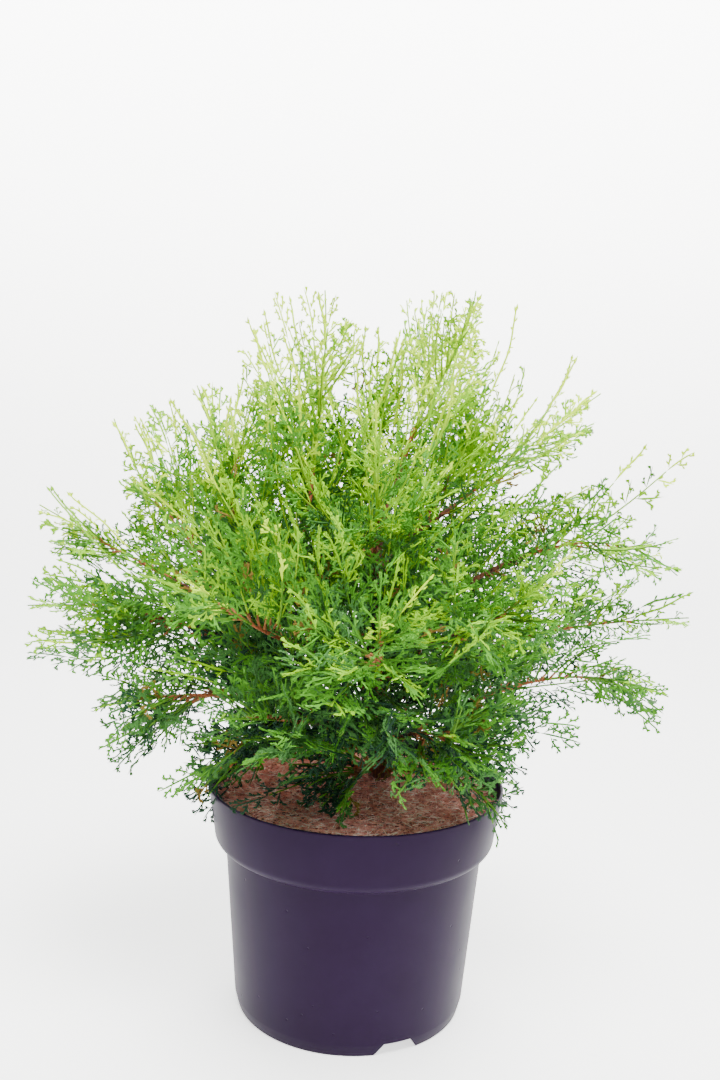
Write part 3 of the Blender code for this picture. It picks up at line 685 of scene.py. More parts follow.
def inside_space(point, own, sites, margin):
    """Whether a point is nearer to its own mass's middle than to any other's, by a margin."""
    middle = sites[own]
    if (point - middle).length > MASS_RADIUS - margin:
        return False
    for name, other in sites.items():
        if name == own:
            continue
        across = other - middle
        if (point - middle).dot(across) / across.length > across.length / 2 - margin:
            return False
    return True


def clear_of_pot(point):
    """Whether a point keeps clear of the pot and of the coir in it."""
    level = hypot(point.x, point.y)
    if level > RIM_RADIUS + 2 * MM:
        return True
    over_mat = level < RIM_RADIUS - WALL - 2 * MM
    return point.z > (MAT_MIDDLE_TOP if over_mat else POT_HEIGHT) + 2 * MM


def entry_step(limb, name, sites):
    """The first step from which the limb stays inside its own mass's space."""
    for step in range(len(limb.points) - 1, 0, -1):
        if not inside_space(limb.points[step - 1], name, sites, SPACE_MARGIN + limb.radii[step]):
            return step
    return 0


def plan_limbs():
    """The trunk, the bough and the stem of each mass by name, and the middle of its space."""
    trunk = trunk_limb()
    whole = {}
    for mass in MASSES:
        carrier = trunk if mass.carrier == "trunk" else whole[mass.carrier]
        whole[mass.name] = whole_limb(mass, carrier)
    sites = {name: limb.at(SITE_SHARE)[0] for name, limb in whole.items()}
    boughs, stems = {}, {}
    for name, limb in whole.items():
        if name.startswith(STEMS_ON_THE_TRUNK):
            stems[name] = limb
            continue
        enter = max(entry_step(limb, name, sites), round(SHORTEST_BOUGH * LIMB_STEPS))
        boughs[name] = limb.part(0, enter)
        stems[name] = limb.part(enter, LIMB_STEPS)
    for stem in stems.values():
        for step in range(len(stem.radii)):
            stem.radii[step] *= 1 - (1 - STEM_SLIMMING) * min(1, step / SLIMMING_STEPS)
    return trunk, boughs, stems, sites


def barked_steps(stem):
    """How many steps of a stem have bark: fewer in the young wood at the top."""
    share = YOUNG_BARKED_SHARE if stem.points[-1].z > YOUNG_STEM_HEIGHT else BARKED_SHARE
    return max(1, round(share * (len(stem.points) - 1)))


def barked_limb(name, limb, sides, ring_gap, relief, low=None):
    """A limb swept finely, with the strips of its bark raised. low is where the ground cuts it."""
    rings = max(6, round(limb.length() / ring_gap))
    shape = bmesh.new()
    side = limb.direction(0).orthogonal().normalized()
    rows = []
    for ring in range(rings + 1):
        share = ring / rings
        (middle, radius), ahead = limb.at(share), limb.direction(share)
        side = (side - ahead * side.dot(ahead)).normalized()
        other = ahead.cross(side)
        row = []
        for number in range(sides):
            turn = tau * number / sides
            out = side * cos(turn) + other * sin(turn)
            where = Vector((cos(turn), sin(turn), 0)) * radius / BARK_STRIP_WIDTH
            where += UP * (share * limb.length() / BARK_STRIP_LENGTH)
            strips = noise.fractal(where + Vector((number_of(name) % 97, 0, 0)), 0.6, 2.1, 4)
            lumps = noise.noise(where * 0.35 + Vector((7, 3, 1)))
            point = middle + out * radius * (1 + relief * strips + 0.8 * relief * lumps)
            if low is not None:
                point.z = max(point.z, low)
            row.append(shape.verts.new(point))
        rows.append(row)
    add_bands(shape, rows)
    shape.faces.new(reversed(rows[0]))
    shape.faces.new(rows[-1])
    bmesh.ops.triangulate(shape, faces=[face for face in shape.faces if len(face.verts) > 4])
    return mesh_from(shape, name)


def number_of(name):
    """A number that differs from name to name and never from run to run."""
    return sum(map(ord, name))


def joined(name, meshes):
    """One object of several meshes."""
    shape = bmesh.new()
    for mesh in meshes:
        shape.from_mesh(mesh)
        bpy.data.meshes.remove(mesh)
    return add_object(name, mesh_from(shape, name))


def tubes(name, limbs):
    """One mesh of closed tapering tubes along limbs."""
    thickest = max(max(limb.radii) for limb in limbs)
    curve = bpy.data.curves.new(name, "CURVE")
    curve.dimensions = "3D"
    curve.bevel_depth = thickest
    curve.bevel_resolution = 1
    curve.use_fill_caps = True
    for limb in limbs:
        spline = curve.splines.new("POLY")
        spline.points.add(len(limb.points) - 1)
        for point, place, radius in zip(spline.points, limb.points, limb.radii):
            point.co = (*place, 1)
            point.radius = radius / thickest
    return plain_mesh(add_object(name, curve), weld=0.001 * MM)


def add_spindle(shape, route, widths, thick_share):
    """A closed three-sided sliver along a route, which tapers to a point at both ends."""
    rows = [[shape.verts.new(route[0])]]
    for index in range(1, len(route) - 1):
        ahead = (route[index + 1] - route[index - 1]).normalized()
        across = UP.cross(ahead).normalized()
        half, rise = widths[index - 1] / 2, widths[index - 1] * thick_share
        low = route[index] - UP * rise * 0.35
        corners = (low - across * half, low + across * half, route[index] + UP * rise * 0.65)
        rows.append([shape.verts.new(corner) for corner in corners])
    rows.append([shape.verts.new(route[-1])])
    for first, second in zip(rows, rows[1:]):
        for number in range(3):
            low, high = (first[(number + turn) % len(first)] for turn in (0, 1))
            left, right = (second[(number + turn) % len(second)] for turn in (0, 1))
            if low != high:
                shape.faces.new((low, high, right))
            if left != right:
                shape.faces.new((low, right, left))


def add_shoot(shape, foot, way, length, fork):
    """A short blunt shoot of scale leaves. fork is the turn of a lobe at its side, or 0."""
    add_spindle(shape, [foot, foot + way * length * 0.7, foot + way * length], [SHOOT_WIDTH], 0.5)
    if fork:
        out = Matrix.Rotation(fork, 3, "Z") @ way
        low = foot + way * length * 0.35
        lobe = [low, low + out * length * 0.38, low + out * length * 0.55]
        add_spindle(shape, lobe, [SHOOT_WIDTH * 0.85], 0.5)


def add_axis(shape, curve, steps, width, slimming, thick_share):
    """The middle shoot of a fan or a whip, along its curve."""
    route = [curve(step / steps) for step in range(steps + 1)]
    widths = [width * (slimming - 0.2 * step / steps) for step in range(1, steps)]
    add_spindle(shape, route, widths, thick_share)


def way_on(curve, share, span):
    """The way that a curve runs at a share of it."""
    return (curve(min(1, share + span)) - curve(share - span)).normalized()


def fan_model(length, rng):
    """A flat fern-like fan of scale-leaved shoots along +X, facing +Z, with its root at the
    origin: branchlets leave its axis by turns, and carry short forked shoots of their own."""
    shape = bmesh.new()
    arch = rng.uniform(-0.16, 0.16)
    droop = rng.uniform(-0.12, 0.16)

    def curve(share):
        return Vector((share * length, arch * share * share * length, -droop * share * share * length))

    add_axis(shape, curve, max(3, round(length / AXIS_STEP)), SHOOT_WIDTH, 0.9, 0.55)
    count = max(3, int(length * 0.92 / BRANCHLET_GAP))
    for number in range(count):
        share = 0.10 + 0.86 * (number + rng.uniform(-0.2, 0.2)) / count
        side = 1 if number % 2 else -1
        root, ahead = curve(share), way_on(curve, share, 0.05)
        bulge = sin(pi * min(1, (share + 0.12) ** 0.8))
        reach = length * 0.42 * (0.30 + 0.80 * bulge) * rng.uniform(0.75, 1.15)
        reach = max(BRANCHLET_REACHES[0], min(reach, BRANCHLET_REACHES[1]))
        lean = radians(rng.uniform(42, 58) - 12 * share)
        roll = Matrix.Rotation(rng.uniform(-0.22, 0.22), 3, "X")
        out = roll @ Matrix.Rotation(side * lean, 3, "Z") @ ahead
        middle = root + out * reach * 0.5
        tip = middle + (Matrix.Rotation(-side * BRANCHLET_BEND, 3, "Z") @ out) * reach * 0.5
        tip -= UP * reach * rng.uniform(-0.05, 0.18)
        branchlet = [root, root.lerp(middle, 0.7), middle.lerp(tip, 0.8), tip]
        add_spindle(shape, branchlet, [SHOOT_WIDTH * 0.72, SHOOT_WIDTH * 0.95], 0.5)
        shoots = int(reach / SHOOT_GAP)
        for shoot in range(shoots):
            place = (shoot + 0.9) / (shoots + 0.9)
            foot = root.lerp(middle, place * 2) if place < 0.5 else middle.lerp(tip, place * 2 - 1)
            size = (3.3 + 2.4 * (1 - place)) * MM * rng.uniform(0.85, 1.15)
            hand = 1 if shoot % 2 else -1
            turn = hand * radians(rng.uniform(34, 48))
            way = Matrix.Rotation(turn, 3, "Z") @ (tip - root).normalized()
            fork = -hand * radians(rng.uniform(50, 70)) if size > FORKED_SHOOT else 0
            add_shoot(shape, foot, way, size, fork)
    return mesh_from(shape, "fan")


def whip_model(length, rng):
    """A long slender leading shoot along +X, with few short tufts and a plump tip."""
    shape = bmesh.new()
    arch = rng.uniform(-0.14, 0.14)

    def curve(share):
        wave = 0.03 * sin(share * 7 + arch * 20)
        return Vector((share, arch * share * share + wave * share, 0.08 * share * share)) * length

    add_axis(shape, curve, max(5, round(length / WHIP_STEP)), WHIP_WIDTH, 1.0, 0.7)
    tip = curve(1)
    before = curve(1 - 7 * MM / length)
    bud = [before, before.lerp(tip, 0.6), tip + (tip - before) * 0.1]
    add_spindle(shape, bud, [WHIP_TIP_WIDTH], 0.8)
    count = round(length / TUFT_GAP)
    for number in range(1, count):
        share = (number + rng.uniform(-0.2, 0.2)) / count
        root, ahead = curve(share), way_on(curve, share, 0.03)
        side = 1 if number % 2 else -1
        reach = (4.4 + 4.0 * (1 - share)) * MM * rng.uniform(0.75, 1.25)
        roll = Matrix.Rotation(rng.uniform(-1.1, 1.1), 3, "X")
        out = roll @ Matrix.Rotation(side * radians(rng.uniform(24, 38)), 3, "Z") @ ahead
        fork = -side * radians(rng.uniform(45, 65)) if reach > FORKED_TUFT else 0
        add_shoot(shape, root, out, reach, fork)
    return mesh_from(shape, "whip")


class Spray(NamedTuple):
    """A fan or a whip: where it goes, which model it is, and its tint."""

    root: Vector
    along: Vector
    facing: Vector
    size: float
    model: int
    tint: str


def tint_of(place, facing, leading, rng):
    """The tint that a spray's place in the light gives it: painted light and shade, paler further out
    and higher up, darker inside the crown and low down. Leading shoots, whose new growth is paler, are
    lifted too, and a few dead sprays inside keep their own brown.
    """
    out = place - CROWN_MIDDLE
    outward = Vector([part / half for part, half in zip(out, CROWN_HALF)]).length
    height = (place.z - POT_HEIGHT) / (CROWN_TOP - POT_HEIGHT)
    light = LEAST_LIGHT + LIGHT_OUTWARD * outward + LIGHT_UPWARD * height
    light += LIGHT_FACING * abs(facing.z)
    light += rng.uniform(-LIGHT_STRAY, LIGHT_STRAY)
    if leading:
        light += LEADING_LIGHT
    elif rng.random() < DEAD_SHARE and outward < DEAD_WITHIN:
        return "dead"
    return next(tint for tint, (_, least) in TINTS.items() if light > least)


def leaned(ahead, across, side, degrees):
    """The way that leaves another to one side at an angle."""
    lean = radians(degrees)
    return (ahead * cos(lean) + across * side * sin(lean)).normalized()


class Growth:
    """What grows in the space of one mass, by random numbers of its own."""

    def __init__(self, mass, sites):
        self.mass, self.sites = mass, sites
        self.rng = random.Random(SEED + number_of(mass.name))
        self.twigs, self.sprays = [], []

    def holds(self, point, margin, extent=1.0):
        """Whether a point is in the mass's space and reach, above the pot and below the top.
        extent is how far towards the mass's furthest tip it may be."""
        mass = self.mass
        if hypot(point.x, point.y) > max(mass.reach, TOP_REACH) or point.z > CROWN_TOP:
            return False
        if mass.height < LOW_MASS_HEIGHT and point.z < mass.height - LOW_HANG:
            return False
        middle = self.sites[mass.name]
        outward = tip_of(mass) - middle
        if (point - middle).dot(outward) > extent * outward.length_squared:
            return False
        return inside_space(point, mass.name, self.sites, margin) and clear_of_pot(point)

    def stray(self, reach):
        """A random vector within this reach on each axis."""
        return Vector([self.rng.uniform(-1, 1) for _ in range(3)]) * reach

    def spray(self, root, along, facing, lengths, length, lit, leading):
        """The fan or whip nearest to a length, in the tint of the light at the place lit."""
        best = min(range(len(lengths)), key=lambda i: abs(lengths[i] - length))
        first = 0 if lengths is FAN_LENGTHS else len(FAN_LENGTHS)
        model = (first + best) * MODELS_A_LENGTH + self.rng.randrange(MODELS_A_LENGTH)
        tint = tint_of(lit, facing, leading, self.rng)
        return Spray(root, along, facing, length / lengths[best], model, tint)

    def grow_twigs(self, limb, count, low, high, on_stem):
        """Twigs round a limb: on a stem they are shorter and lean closer towards its tip."""
        rng = self.rng
        drooping = self.mass.finish < 0 and self.mass.height < DROOPING_HEIGHT
        turn = rng.uniform(0, tau)
        for number in range(round(count * self.mass.twigs)):
            share = (number * GOLDEN_SHARE) % 1
            along_limb = share**1.25 if on_stem else share
            place = low + along_limb * (high - low)
            foot, ahead = limb.at(place)[0], limb.direction(place)
            side = ahead.orthogonal().normalized()
            turn += GOLDEN_ANGLE + rng.uniform(-TURN_STRAY, TURN_STRAY)
            round_limb = side * cos(turn) + side.cross(ahead) * sin(turn)
            closing = along_limb if on_stem else 0
            lean = radians(rng.uniform(*TWIG_LEANS) - TWIG_CLOSING * closing)
            lift = UP * LIGHT_LIFT * rng.uniform(0.3, 1)
            along = (ahead * cos(lean) + round_limb * sin(lean) + lift).normalized()
            facing = (foot - CROWN_MIDDLE).normalized() + UP * FACING_UP + self.stray(FACING_STRAY)
            across = facing.cross(along).normalized()
            size = (1 - SPRAY_CLOSING * closing**0.8) * rng.uniform(0.9, 1.1)
            length = TWIG_LENGTH * rng.uniform(0.78, 1.05)
            length *= 1 - LENGTH_CLOSING * closing**1.5 if on_stem else BOUGH_TWIG_SHARE
            bend = (-UP if drooping else UP) * TWIG_SAG + (ahead - along) * TWIG_CURVE
            bend += self.stray(TWIG_SWAY)
            margin = -STEM_OVERREACH if on_stem else -BOUGH_OVERREACH
            self.grow_twig(foot, along, across, bend, length, size, closing, margin)

    def grow_twig(self, foot, along, across, bend, length, size, closing, margin):
        """One side twig with fans on both sides, cut short where it would leave the mass's space."""
        height, rng, steps = self.mass.height, self.rng, TWIG_STEPS

        def at(share):
            return foot + along * length * share + bend * length * share * share

        chance = WHIP_CHANCE + TIP_WHIP_CHANCE * closing
        chance += TOP_WHIP_CHANCE if height > TOP_WHIP_HEIGHT else 0
        whippy = height > WHIP_HEIGHT and rng.random() < chance
        extent = WHIP_FOOT_EXTENT if whippy else FAN_EXTENT
        last = steps
        while last > 2 and not self.holds(at(last / steps), margin + TWIG_MARGIN, extent):
            last -= 1
        if last <= 2 and not self.holds(at(2 / steps), margin + TWIG_MARGIN):
            return
        end = last / steps
        twig = Limb([at(end * step / steps) for step in range(steps + 1)], [TWIG_RADIUS] * (steps + 1))
        gap = FAN_GAP / (length * end)
        place, side = FIRST_FAN + rng.uniform(0, gap), rng.choice((-1, 1))
        grown, furthest = [], 0
        while place < LAST_FAN:
            root, ahead = twig.at(place)[0], twig.direction(place)
            way = leaned(ahead, across, side, rng.uniform(42, 60) - 12 * place)
            facing = (ahead.cross(across) + across * rng.uniform(-0.6, 0.6)).normalized()
            envelope = min(1, 0.55 + 1.6 * place) * (1.05 - (0.78 if whippy else 0.58) * place)
            reach = FAN_LENGTHS[0] * envelope * size * rng.uniform(0.75, 1.12)
            for cut in FAN_CUTS:
                too_short = reach * cut <= SHORTEST_FAN
                if not too_short and self.holds(root + way * reach * cut, margin, FAN_EXTENT):
                    lit = root + way * reach * 0.5
                    grown.append(self.spray(root, way, facing, FAN_LENGTHS, reach * cut, lit, False))
                    furthest = place
                    break
            side = -side
            place += gap * rng.uniform(0.8, 1.2)
        tip, ahead = twig.at(1)[0], twig.direction(1)
        facing = ahead.cross(across).normalized()
        for reach in (TIP_WHIPS if whippy else ()) + TIP_FANS:
            if self.holds(tip + ahead * reach * MM, margin):
                leading = reach in TIP_WHIPS
                lengths = WHIP_LENGTHS if leading else FAN_LENGTHS
                lit = tip + ahead * reach * MM * 0.7
                grown.append(self.spray(tip, ahead, facing, lengths, reach * MM, lit, leading))
                furthest = 1
                break
        if len(grown) < 3:
            return
        kept = min(1, furthest + 0.04)
        places = [twig.at(kept * step / steps)[0] for step in range(steps + 1)]
        taper = (TWIG_TIP_RADIUS - TWIG_RADIUS) / steps
        radii = [TWIG_RADIUS + taper * step for step in range(steps + 1)]
        self.twigs.append(Limb(places, radii))
        self.sprays += grown

    def grow_leader(self, stem):
        """The tufts along the last of a stem, and the whip that reaches the mass's furthest tip."""
        rng, length = self.rng, stem.length()
        across = stem.direction(0.99).cross(Vector((0, 1, FACING_UP))).normalized()
        place, side = 1 - min(0.6, LEADER_TUFTED / length), 1
        while place < 0.97:
            root, ahead = stem.at(place)[0], stem.direction(place)
            way = leaned(ahead, across, side, rng.uniform(34, 50))
            facing = (ahead.cross(across) + across * rng.uniform(-0.8, 0.8)).normalized()
            reach = (6 * MM + 0.22 * (1 - place) * length) * rng.uniform(0.8, 1.2)
            if self.holds(root + way * reach, -LEADER_OVERREACH):
                self.sprays.append(self.spray(root, way, facing, FAN_LENGTHS, reach, root, True))
            side = -side
            place += LEADER_TUFT_GAP / length
        tip, root = stem.at(1)[0], stem.at(1 - min(0.3, LEADER_WHIP / length))[0]
        facing = (tip - root).cross(across).normalized()
        lengths = WHIP_LENGTHS if self.mass.height > LONG_LEADER_HEIGHT else FAN_LENGTHS
        way, length = (tip - root).normalized(), (tip - root).length
        last = self.spray(root, way, facing, lengths, length, tip, True)
        self.sprays.append(last._replace(size=last.size * 0.97))


def spray_tree():
    """Lays a model on each point by the point's turn, size and model, which are attributes."""
    kinds = {"Twigs": "Geometry", "Models": "Collection", "Material": "Material"}
    tree, given = start_tree("sprays_on_twigs", kinds)
    turn, size, model = (
        add_node(tree, "GeometryNodeInputNamedAttribute", {"Name": name}, data_type=kind)
        for name, kind in (("turn", "FLOAT_VECTOR"), ("size", "FLOAT"), ("model", "INT"))
    )
    placing = {"Points": given["Twigs"], "Instance Index": model, "Scale": size}
    return end_tree(tree, given, turn, placing)


def lay_sprays(name, sprays, models, material):
    """The sprays of one piece, laid at their places by Geometry Nodes and made real."""
    mesh = bpy.data.meshes.new(name)
    mesh.from_pydata([spray.root for spray in sprays], [], [])
    turns = []
    for spray in sprays:
        across = spray.facing.cross(spray.along).normalized()
        facing = spray.along.cross(across)
        turns += Matrix((spray.along, across, facing)).transposed().to_euler()
    for attribute, kind, field, values in (
        ("turn", "FLOAT_VECTOR", "vector", turns),
        ("size", "FLOAT", "value", [spray.size for spray in sprays]),
        ("model", "INT", "value", [spray.model for spray in sprays]),
    ):
        mesh.attributes.new(attribute, kind, "POINT").data.foreach_set(field, values)
    values = {"Models": models, "Material": material}
    return through_nodes(add_object(name, mesh), spray_tree(), values)


def make_foliage(boughs, stems, sites):
    """All twigs and sprays of the crown."""
    rng = random.Random(SEED)
    kinds = ((fan_model, FAN_LENGTHS), (whip_model, WHIP_LENGTHS))
    meshes = [
        model(length, rng)
        for model, lengths in kinds for length in lengths for _ in range(MODELS_A_LENGTH)
    ]
    models = add_collection("spray_models", meshes)
    nodes = ["foliage_" + mass.name for mass in MASSES]
    twigs, sprays = [], []
    for mass in MASSES:
        growth, stem = Growth(mass, sites), stems[mass.name]
        growth.grow_twigs(stem, TWIGS_A_STEM, STEM_BARE, STEM_TOP, True)
        if mass.name in boughs:
            growth.grow_twigs(boughs[mass.name], TWIGS_A_BOUGH, BOUGH_BARE, 1, False)
        growth.grow_leader(stem)
        twigs += growth.twigs
        sprays += growth.sprays
    for tint, (code, _) in TINTS.items():
        chosen = [spray for spray in sprays if spray.tint == tint]
        material = waxy_scale_leaf("scale_leaf_" + tint, code, 0.8 if tint == "dead" else 0.5)
        faces = sum(len(models.objects[spray.model].data.polygons) for spray in chosen)
        pieces = faces // PIECE_TRIANGLES + 1
        chosen.sort(key=lambda spray: atan2(spray.root.y, spray.root.x))
        each = ceil(len(chosen) / pieces)
        for piece in range(pieces):
            part = chosen[piece * each : (piece + 1) * each]
            laid = lay_sprays(f"sprays_{tint}_{piece + 1}", part, models, material)
            finish_piece(laid, nodes, smooth=False)
    drop_collection(models)
    woody = tubes("woody_twigs", [t.part(0, 1) for t in twigs if t.points[0].z < WOODY_HEIGHT])
    finish_piece(woody, nodes, stringy_bark("young_bark", "#5E3416", "#845024", "#A27038"))
    tips = [stem.part(barked_steps(stem), len(stem.points) - 1) for stem in stems.values()]
    greens = [t.part(int(t.points[0].z < WOODY_HEIGHT), len(t.points) - 1) for t in twigs] + tips
    for name, low, high, colour in (
        ("green_twigs", 0.0, PALE_HEIGHT, "#4F7A22"), ("pale_twigs", PALE_HEIGHT, 1.0, "#86B020"),
    ):
        chosen = tubes(name, [limb for limb in greens if low <= limb.points[-1].z < high])
        finish_piece(chosen, nodes, waxy_scale_leaf("scale_leaf_" + name, colour))


def make_limbs(trunk, boughs, stems):
    """The trunk, the boughs and the stems, with their bark."""
    old_bark = stringy_bark("old_bark", "#33190F", "#562E1A", "#7E4A2A")
    ground = ROOT_BALL_TOP + 0.3 * MM
    trunk_mesh = barked_limb("trunk", trunk, sides=56, ring_gap=1.6 * MM, relief=0.09, low=ground)
    trunk_piece = add_object("barked_trunk", trunk_mesh)
    finish_piece(trunk_piece, ["trunk"], old_bark)
    meshes = [
        barked_limb(name, bough, sides=18, ring_gap=2.4 * MM, relief=0.09)
        for name, bough in boughs.items()
    ]
    finish_piece(joined("barked_boughs", meshes), ["bough_" + name for name in boughs], old_bark)
    lows = {name: stem.part(0, barked_steps(stem)) for name, stem in stems.items()}
    meshes = [
        barked_limb(name, low, sides=10, ring_gap=3.2 * MM, relief=0.08) for name, low in lows.items()
    ]
    bark = stringy_bark("stem_bark", "#552A14", "#84441E", "#A9622E")
    finish_piece(joined("barked_stems", meshes), ["foliage_" + name for name in stems], bark)


def make_coir():
    """The disc of coir: a lumpy mat, and loose fibres over all of it."""
    inner = pot_inner_radius(ROOT_BALL_TOP) - 0.5 * MM
    edge = pot_inner_radius(MAT_EDGE_TOP) - 0.7 * MM
    fall = MAT_MIDDLE_TOP - MAT_EDGE_TOP
    shape = bmesh.new()
    rows = []
    for ring in range(MAT_RINGS + 1):
        share = ring / MAT_RINGS
        row = []
        for number in range(MAT_SIDES):
            turn = tau * number / MAT_SIDES
            place = Vector((cos(turn), sin(turn), 0)) * edge * max(share, 0.001)
            lumps = noise.fractal(place / MAT_LUMP_GAP, 0.8, 2.0, 5) * MAT_LUMP_HEIGHT
            top = MAT_MIDDLE_TOP - 1.2 * MM - fall * share**2 + lumps
            if share > MAT_FLAT_SHARE:
                top -= (share - MAT_FLAT_SHARE) / (1 - MAT_FLAT_SHARE) * 4 * MM
            place.z = min(top, MAT_MIDDLE_TOP)
            row.append(shape.verts.new(place))
        rows.append(row)
    rim = []
    for vert in rows[-1]:
        x, y = (part / (inner + 1 * MM) * inner for part in vert.co[:2])
        rim.append(shape.verts.new((x, y, ROOT_BALL_TOP + 0.3 * MM)))
    rows.append(rim)
    add_bands(shape, rows, turned=True)
    bmesh.ops.remove_doubles(shape, verts=rows[0], dist=1 * MM)
    shape.faces.new(list(reversed(rim)))
    bmesh.ops.triangulate(shape, faces=[face for face in shape.faces if len(face.verts) > 4])
    bmesh.ops.recalc_face_normals(shape, faces=shape.faces)
    mat = add_object("coir_mat", mesh_from(shape, "coir_mat"))
    finish_piece(mat, ["fibre_disc"], matted_coir("coir_mat", "#582C26", "#985A50"))
    for name, count, dark, pale, seed in (
        ("red", FIBRES, "#B87264", "#E2AA9C", 3),
        ("pale", FIBRES // 3, "#DCBEB2", "#F2E0D6", 8),
    ):
        coir = matted_coir("coir_" + name, dark, pale)
        scatter_fibres(mat, "coir_fibres_" + name, count, coir, seed)


def fibre_model(rng):
    """One curved fibre, lying along +X through the origin."""
    shape = bmesh.new()
    length = rng.uniform(15, 30) * MM
    curl = rng.uniform(-0.6, 0.6)
    steps = 5
    route = []
    for step in range(steps + 1):
        s = step / steps - 0.5
        rise = 1.4 * MM * (0.5 + sin(s * 4 + curl * 9) * 0.6)
        route.append(Vector((s * length, curl * length * (4 * s * s - 0.5) * 0.5, rise)))
    add_spindle(shape, route, [0.55 * MM] * (steps - 1), 0.9)
    return mesh_from(shape, "fibre")


def fibre_tree():
    """Strews models at random over the upper side of a mat, each turned and tilted its own way."""
    kinds = {"Mat": "Geometry", "Models": "Collection", "Material": "Material", "Seed": "Int"}
    kinds |= {"Fibres a square metre": "Float", "Widest place": "Float"}
    tree, given = start_tree("strewn_fibres", kinds)
    place = add_node(tree, "GeometryNodeInputPosition")
    level = add_node(tree, "ShaderNodeVectorMath", {0: place, 1: (1, 1, 0)}, operation="MULTIPLY")
    radius = add_node(tree, "ShaderNodeVectorMath", {0: level}, operation="LENGTH")
    limits = {0: radius, 1: given["Widest place"]}
    inside = add_node(tree, "ShaderNodeMath", limits, operation="LESS_THAN")
    normal = add_node(tree, "GeometryNodeInputNormal")
    rise = add_node(tree, "ShaderNodeSeparateXYZ", {"Vector": normal}).outputs["Z"]
    upper = add_node(tree, "ShaderNodeMath", {0: rise, 1: 0.3}, operation="GREATER_THAN")
    wanted = add_node(tree, "ShaderNodeMath", {0: upper, 1: inside}, operation="MULTIPLY")
    strewn = {"Mesh": given["Mat"], "Selection": wanted, "Seed": given["Seed"]}
    strewn["Density"] = given["Fibres a square metre"]
    points = add_node(tree, "GeometryNodeDistributePointsOnFaces", strewn)
    turns = {"Min": (-0.16, -0.30, 0.0), "Max": (0.16, 0.30, tau), "Seed": given["Seed"]}
    turn = add_node(tree, "FunctionNodeRandomValue", turns, data_type="FLOAT_VECTOR")
    return end_tree(tree, given, turn, {"Points": points})


def scatter_fibres(mat, name, count, material, seed):
    """Fibres strewn over the mat by Geometry Nodes."""
    rng = random.Random(seed)
    models = add_collection("fibre_models", [fibre_model(rng) for _ in range(FIBRE_MODELS)])
    values = {
        "Models": models, "Material": material, "Seed": seed,
        "Fibres a square metre": count / (pi * RIM_RADIUS**2), "Widest place": RIM_RADIUS - 14 * MM,
    }
    fibres = through_nodes(add_object(name, mat.data.copy()), fibre_tree(), values)
    drop_collection(models)
    finish_piece(fibres, ["fibre_disc"], smooth=False)


def make_camera():
    """The camera at the photo's viewing angle."""
    data = bpy.data.cameras.new("camera")
    data.sensor_fit, data.sensor_height = "VERTICAL", FRAME_HEIGHT
    data.lens, data.shift_y = LENS, SHIFT_Y
    camera = add_object("camera", data)
    place = Matrix.Translation(CAMERA_PLACE)
    for angle, axis in ((CAMERA_YAW, "Z"), (CAMERA_PITCH, "X"), (CAMERA_ROLL, "Z")):
        place @= Matrix.Rotation(angle, 4, axis)
    camera.matrix_world = place
    bpy.context.scene.camera = camera


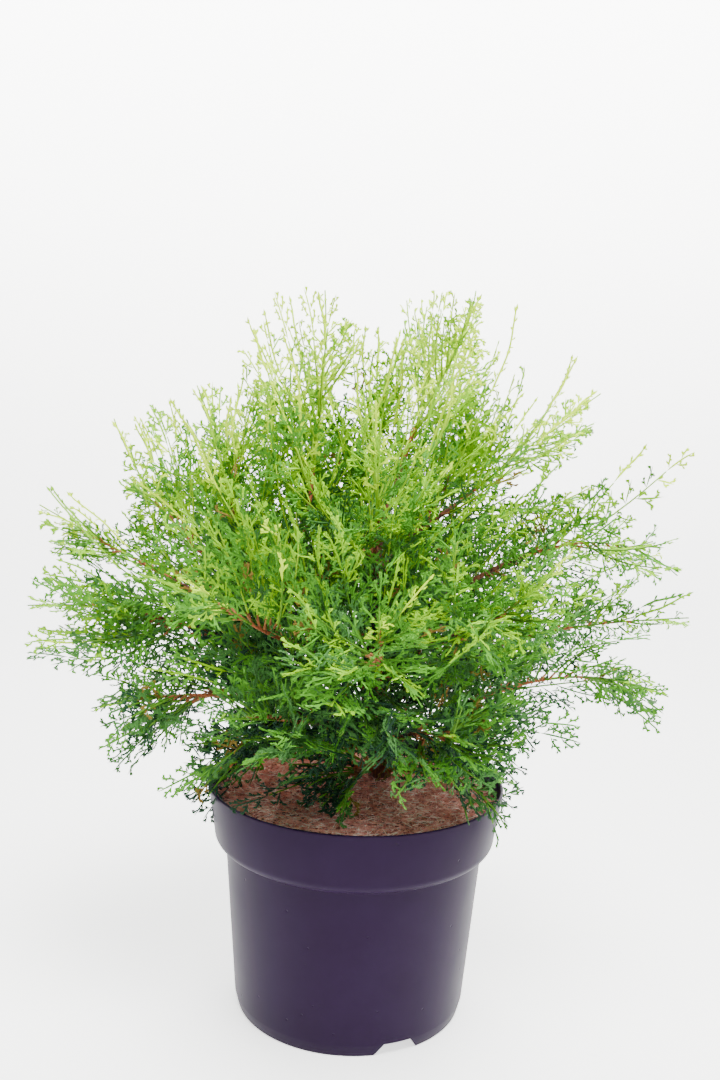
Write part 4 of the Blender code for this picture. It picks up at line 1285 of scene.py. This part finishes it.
def make_studio():
    """A pale sweep that is floor and backdrop in one, with a painted glow of its own, and soft light
    from all round.
    """
    shape = bmesh.new()
    bend, back, half = 0.9, 1.9, 4.0
    route = [(-half, 0.0), (back - bend, 0.0)]
    for step in range(1, 13):
        turn = pi / 24 * step
        route.append((back - bend + bend * sin(turn), bend - bend * cos(turn)))
    route.append((back, half))
    rows = [[shape.verts.new((x, y, z)) for x in (-half, half)] for y, z in route]
    for first, second in zip(rows, rows[1:]):
        shape.faces.new((first[0], first[1], second[1], second[0]))
    sweep = add_object("paper_sweep", mesh_from(shape, "paper_sweep"))
    # Background paper: matt white with a grain drawn as coarse as 3 mm so that it shows, and a painted
    # glow that the paper gives out itself, though it is no lamp: strongest towards the backdrop's top
    # and middle, fading to the sides, weakest on the floor, and lighting the plant and the pot as fill
    # light
    made, tree, shader, place = start_material("matt_white_paper", {"Roughness": 0.95})
    grain = add_node(tree, "ShaderNodeTexNoise", {"Vector": place, "Scale": 300.0, "Detail": 2.0})
    white = add_node(tree, "ShaderNodeValToRGB", {"Fac": grain}, ((0.3, "#F4F4F3"), (0.7, "#F8F8F7")))
    spot = add_node(tree, "ShaderNodeSeparateXYZ", {"Vector": place}).outputs
    brighter = {"Value": spot["Z"], "From Max": 1.4, "To Min": 1.75, "To Max": 9.0}
    rise = add_node(tree, "ShaderNodeMapRange", brighter)
    sideways = add_node(tree, "ShaderNodeMath", {0: spot["X"]}, operation="ABSOLUTE")
    darker = {"Value": sideways, "From Min": 0.9, "From Max": 1.8, "To Min": 1.0, "To Max": 0.2}
    falling = add_node(tree, "ShaderNodeMapRange", darker)
    glow = add_node(tree, "ShaderNodeMath", {0: rise, 1: falling}, operation="MULTIPLY")
    # The emission is painted light: the paper glows as if lit, though no lamp lights it
    lit = {"Base Color": white, "Emission Color": white, "Emission Strength": glow}
    fill_inputs(tree, shader, lit)
    sweep.data.materials.append(made)
    sweep.data.shade_smooth()
    world = bpy.context.scene.world or bpy.data.worlds.new("studio")
    bpy.context.scene.world = world
    world.use_nodes = True
    sky = world.node_tree.nodes["Background"]
    sky.inputs["Color"].default_value = linear("#FFFFFF")
    sky.inputs["Strength"].default_value = 0.27
    for name, place, size, power in (
        ("overhead_softbox", (0.20, -0.65, 2.0), 0.9, 122.0),
        ("left_softbox", (-1.7, -1.1, 1.1), 1.2, 4.0),
        ("right_softbox", (1.7, -1.0, 1.1), 1.2, 14.0),
    ):
        data = bpy.data.lights.new(name, "AREA")
        data.size = size
        data.energy = power
        lamp = add_object(name, data)
        lamp.location = place
        aim = Vector((0, 0, 0.3)) - lamp.location
        lamp.rotation_euler = aim.to_track_quat("-Z", "Y").to_euler()


make_camera()
make_studio()
make_pot(moulded_polypropylene())
root_ball = frame["nodes"]["root_ball"]
root_ball.data.materials.clear()
root_ball.data.materials.append(moist_peat())
make_coir()
trunk, boughs, stems, sites = plan_limbs()
make_limbs(trunk, boughs, stems)
make_foliage(boughs, stems, sites)
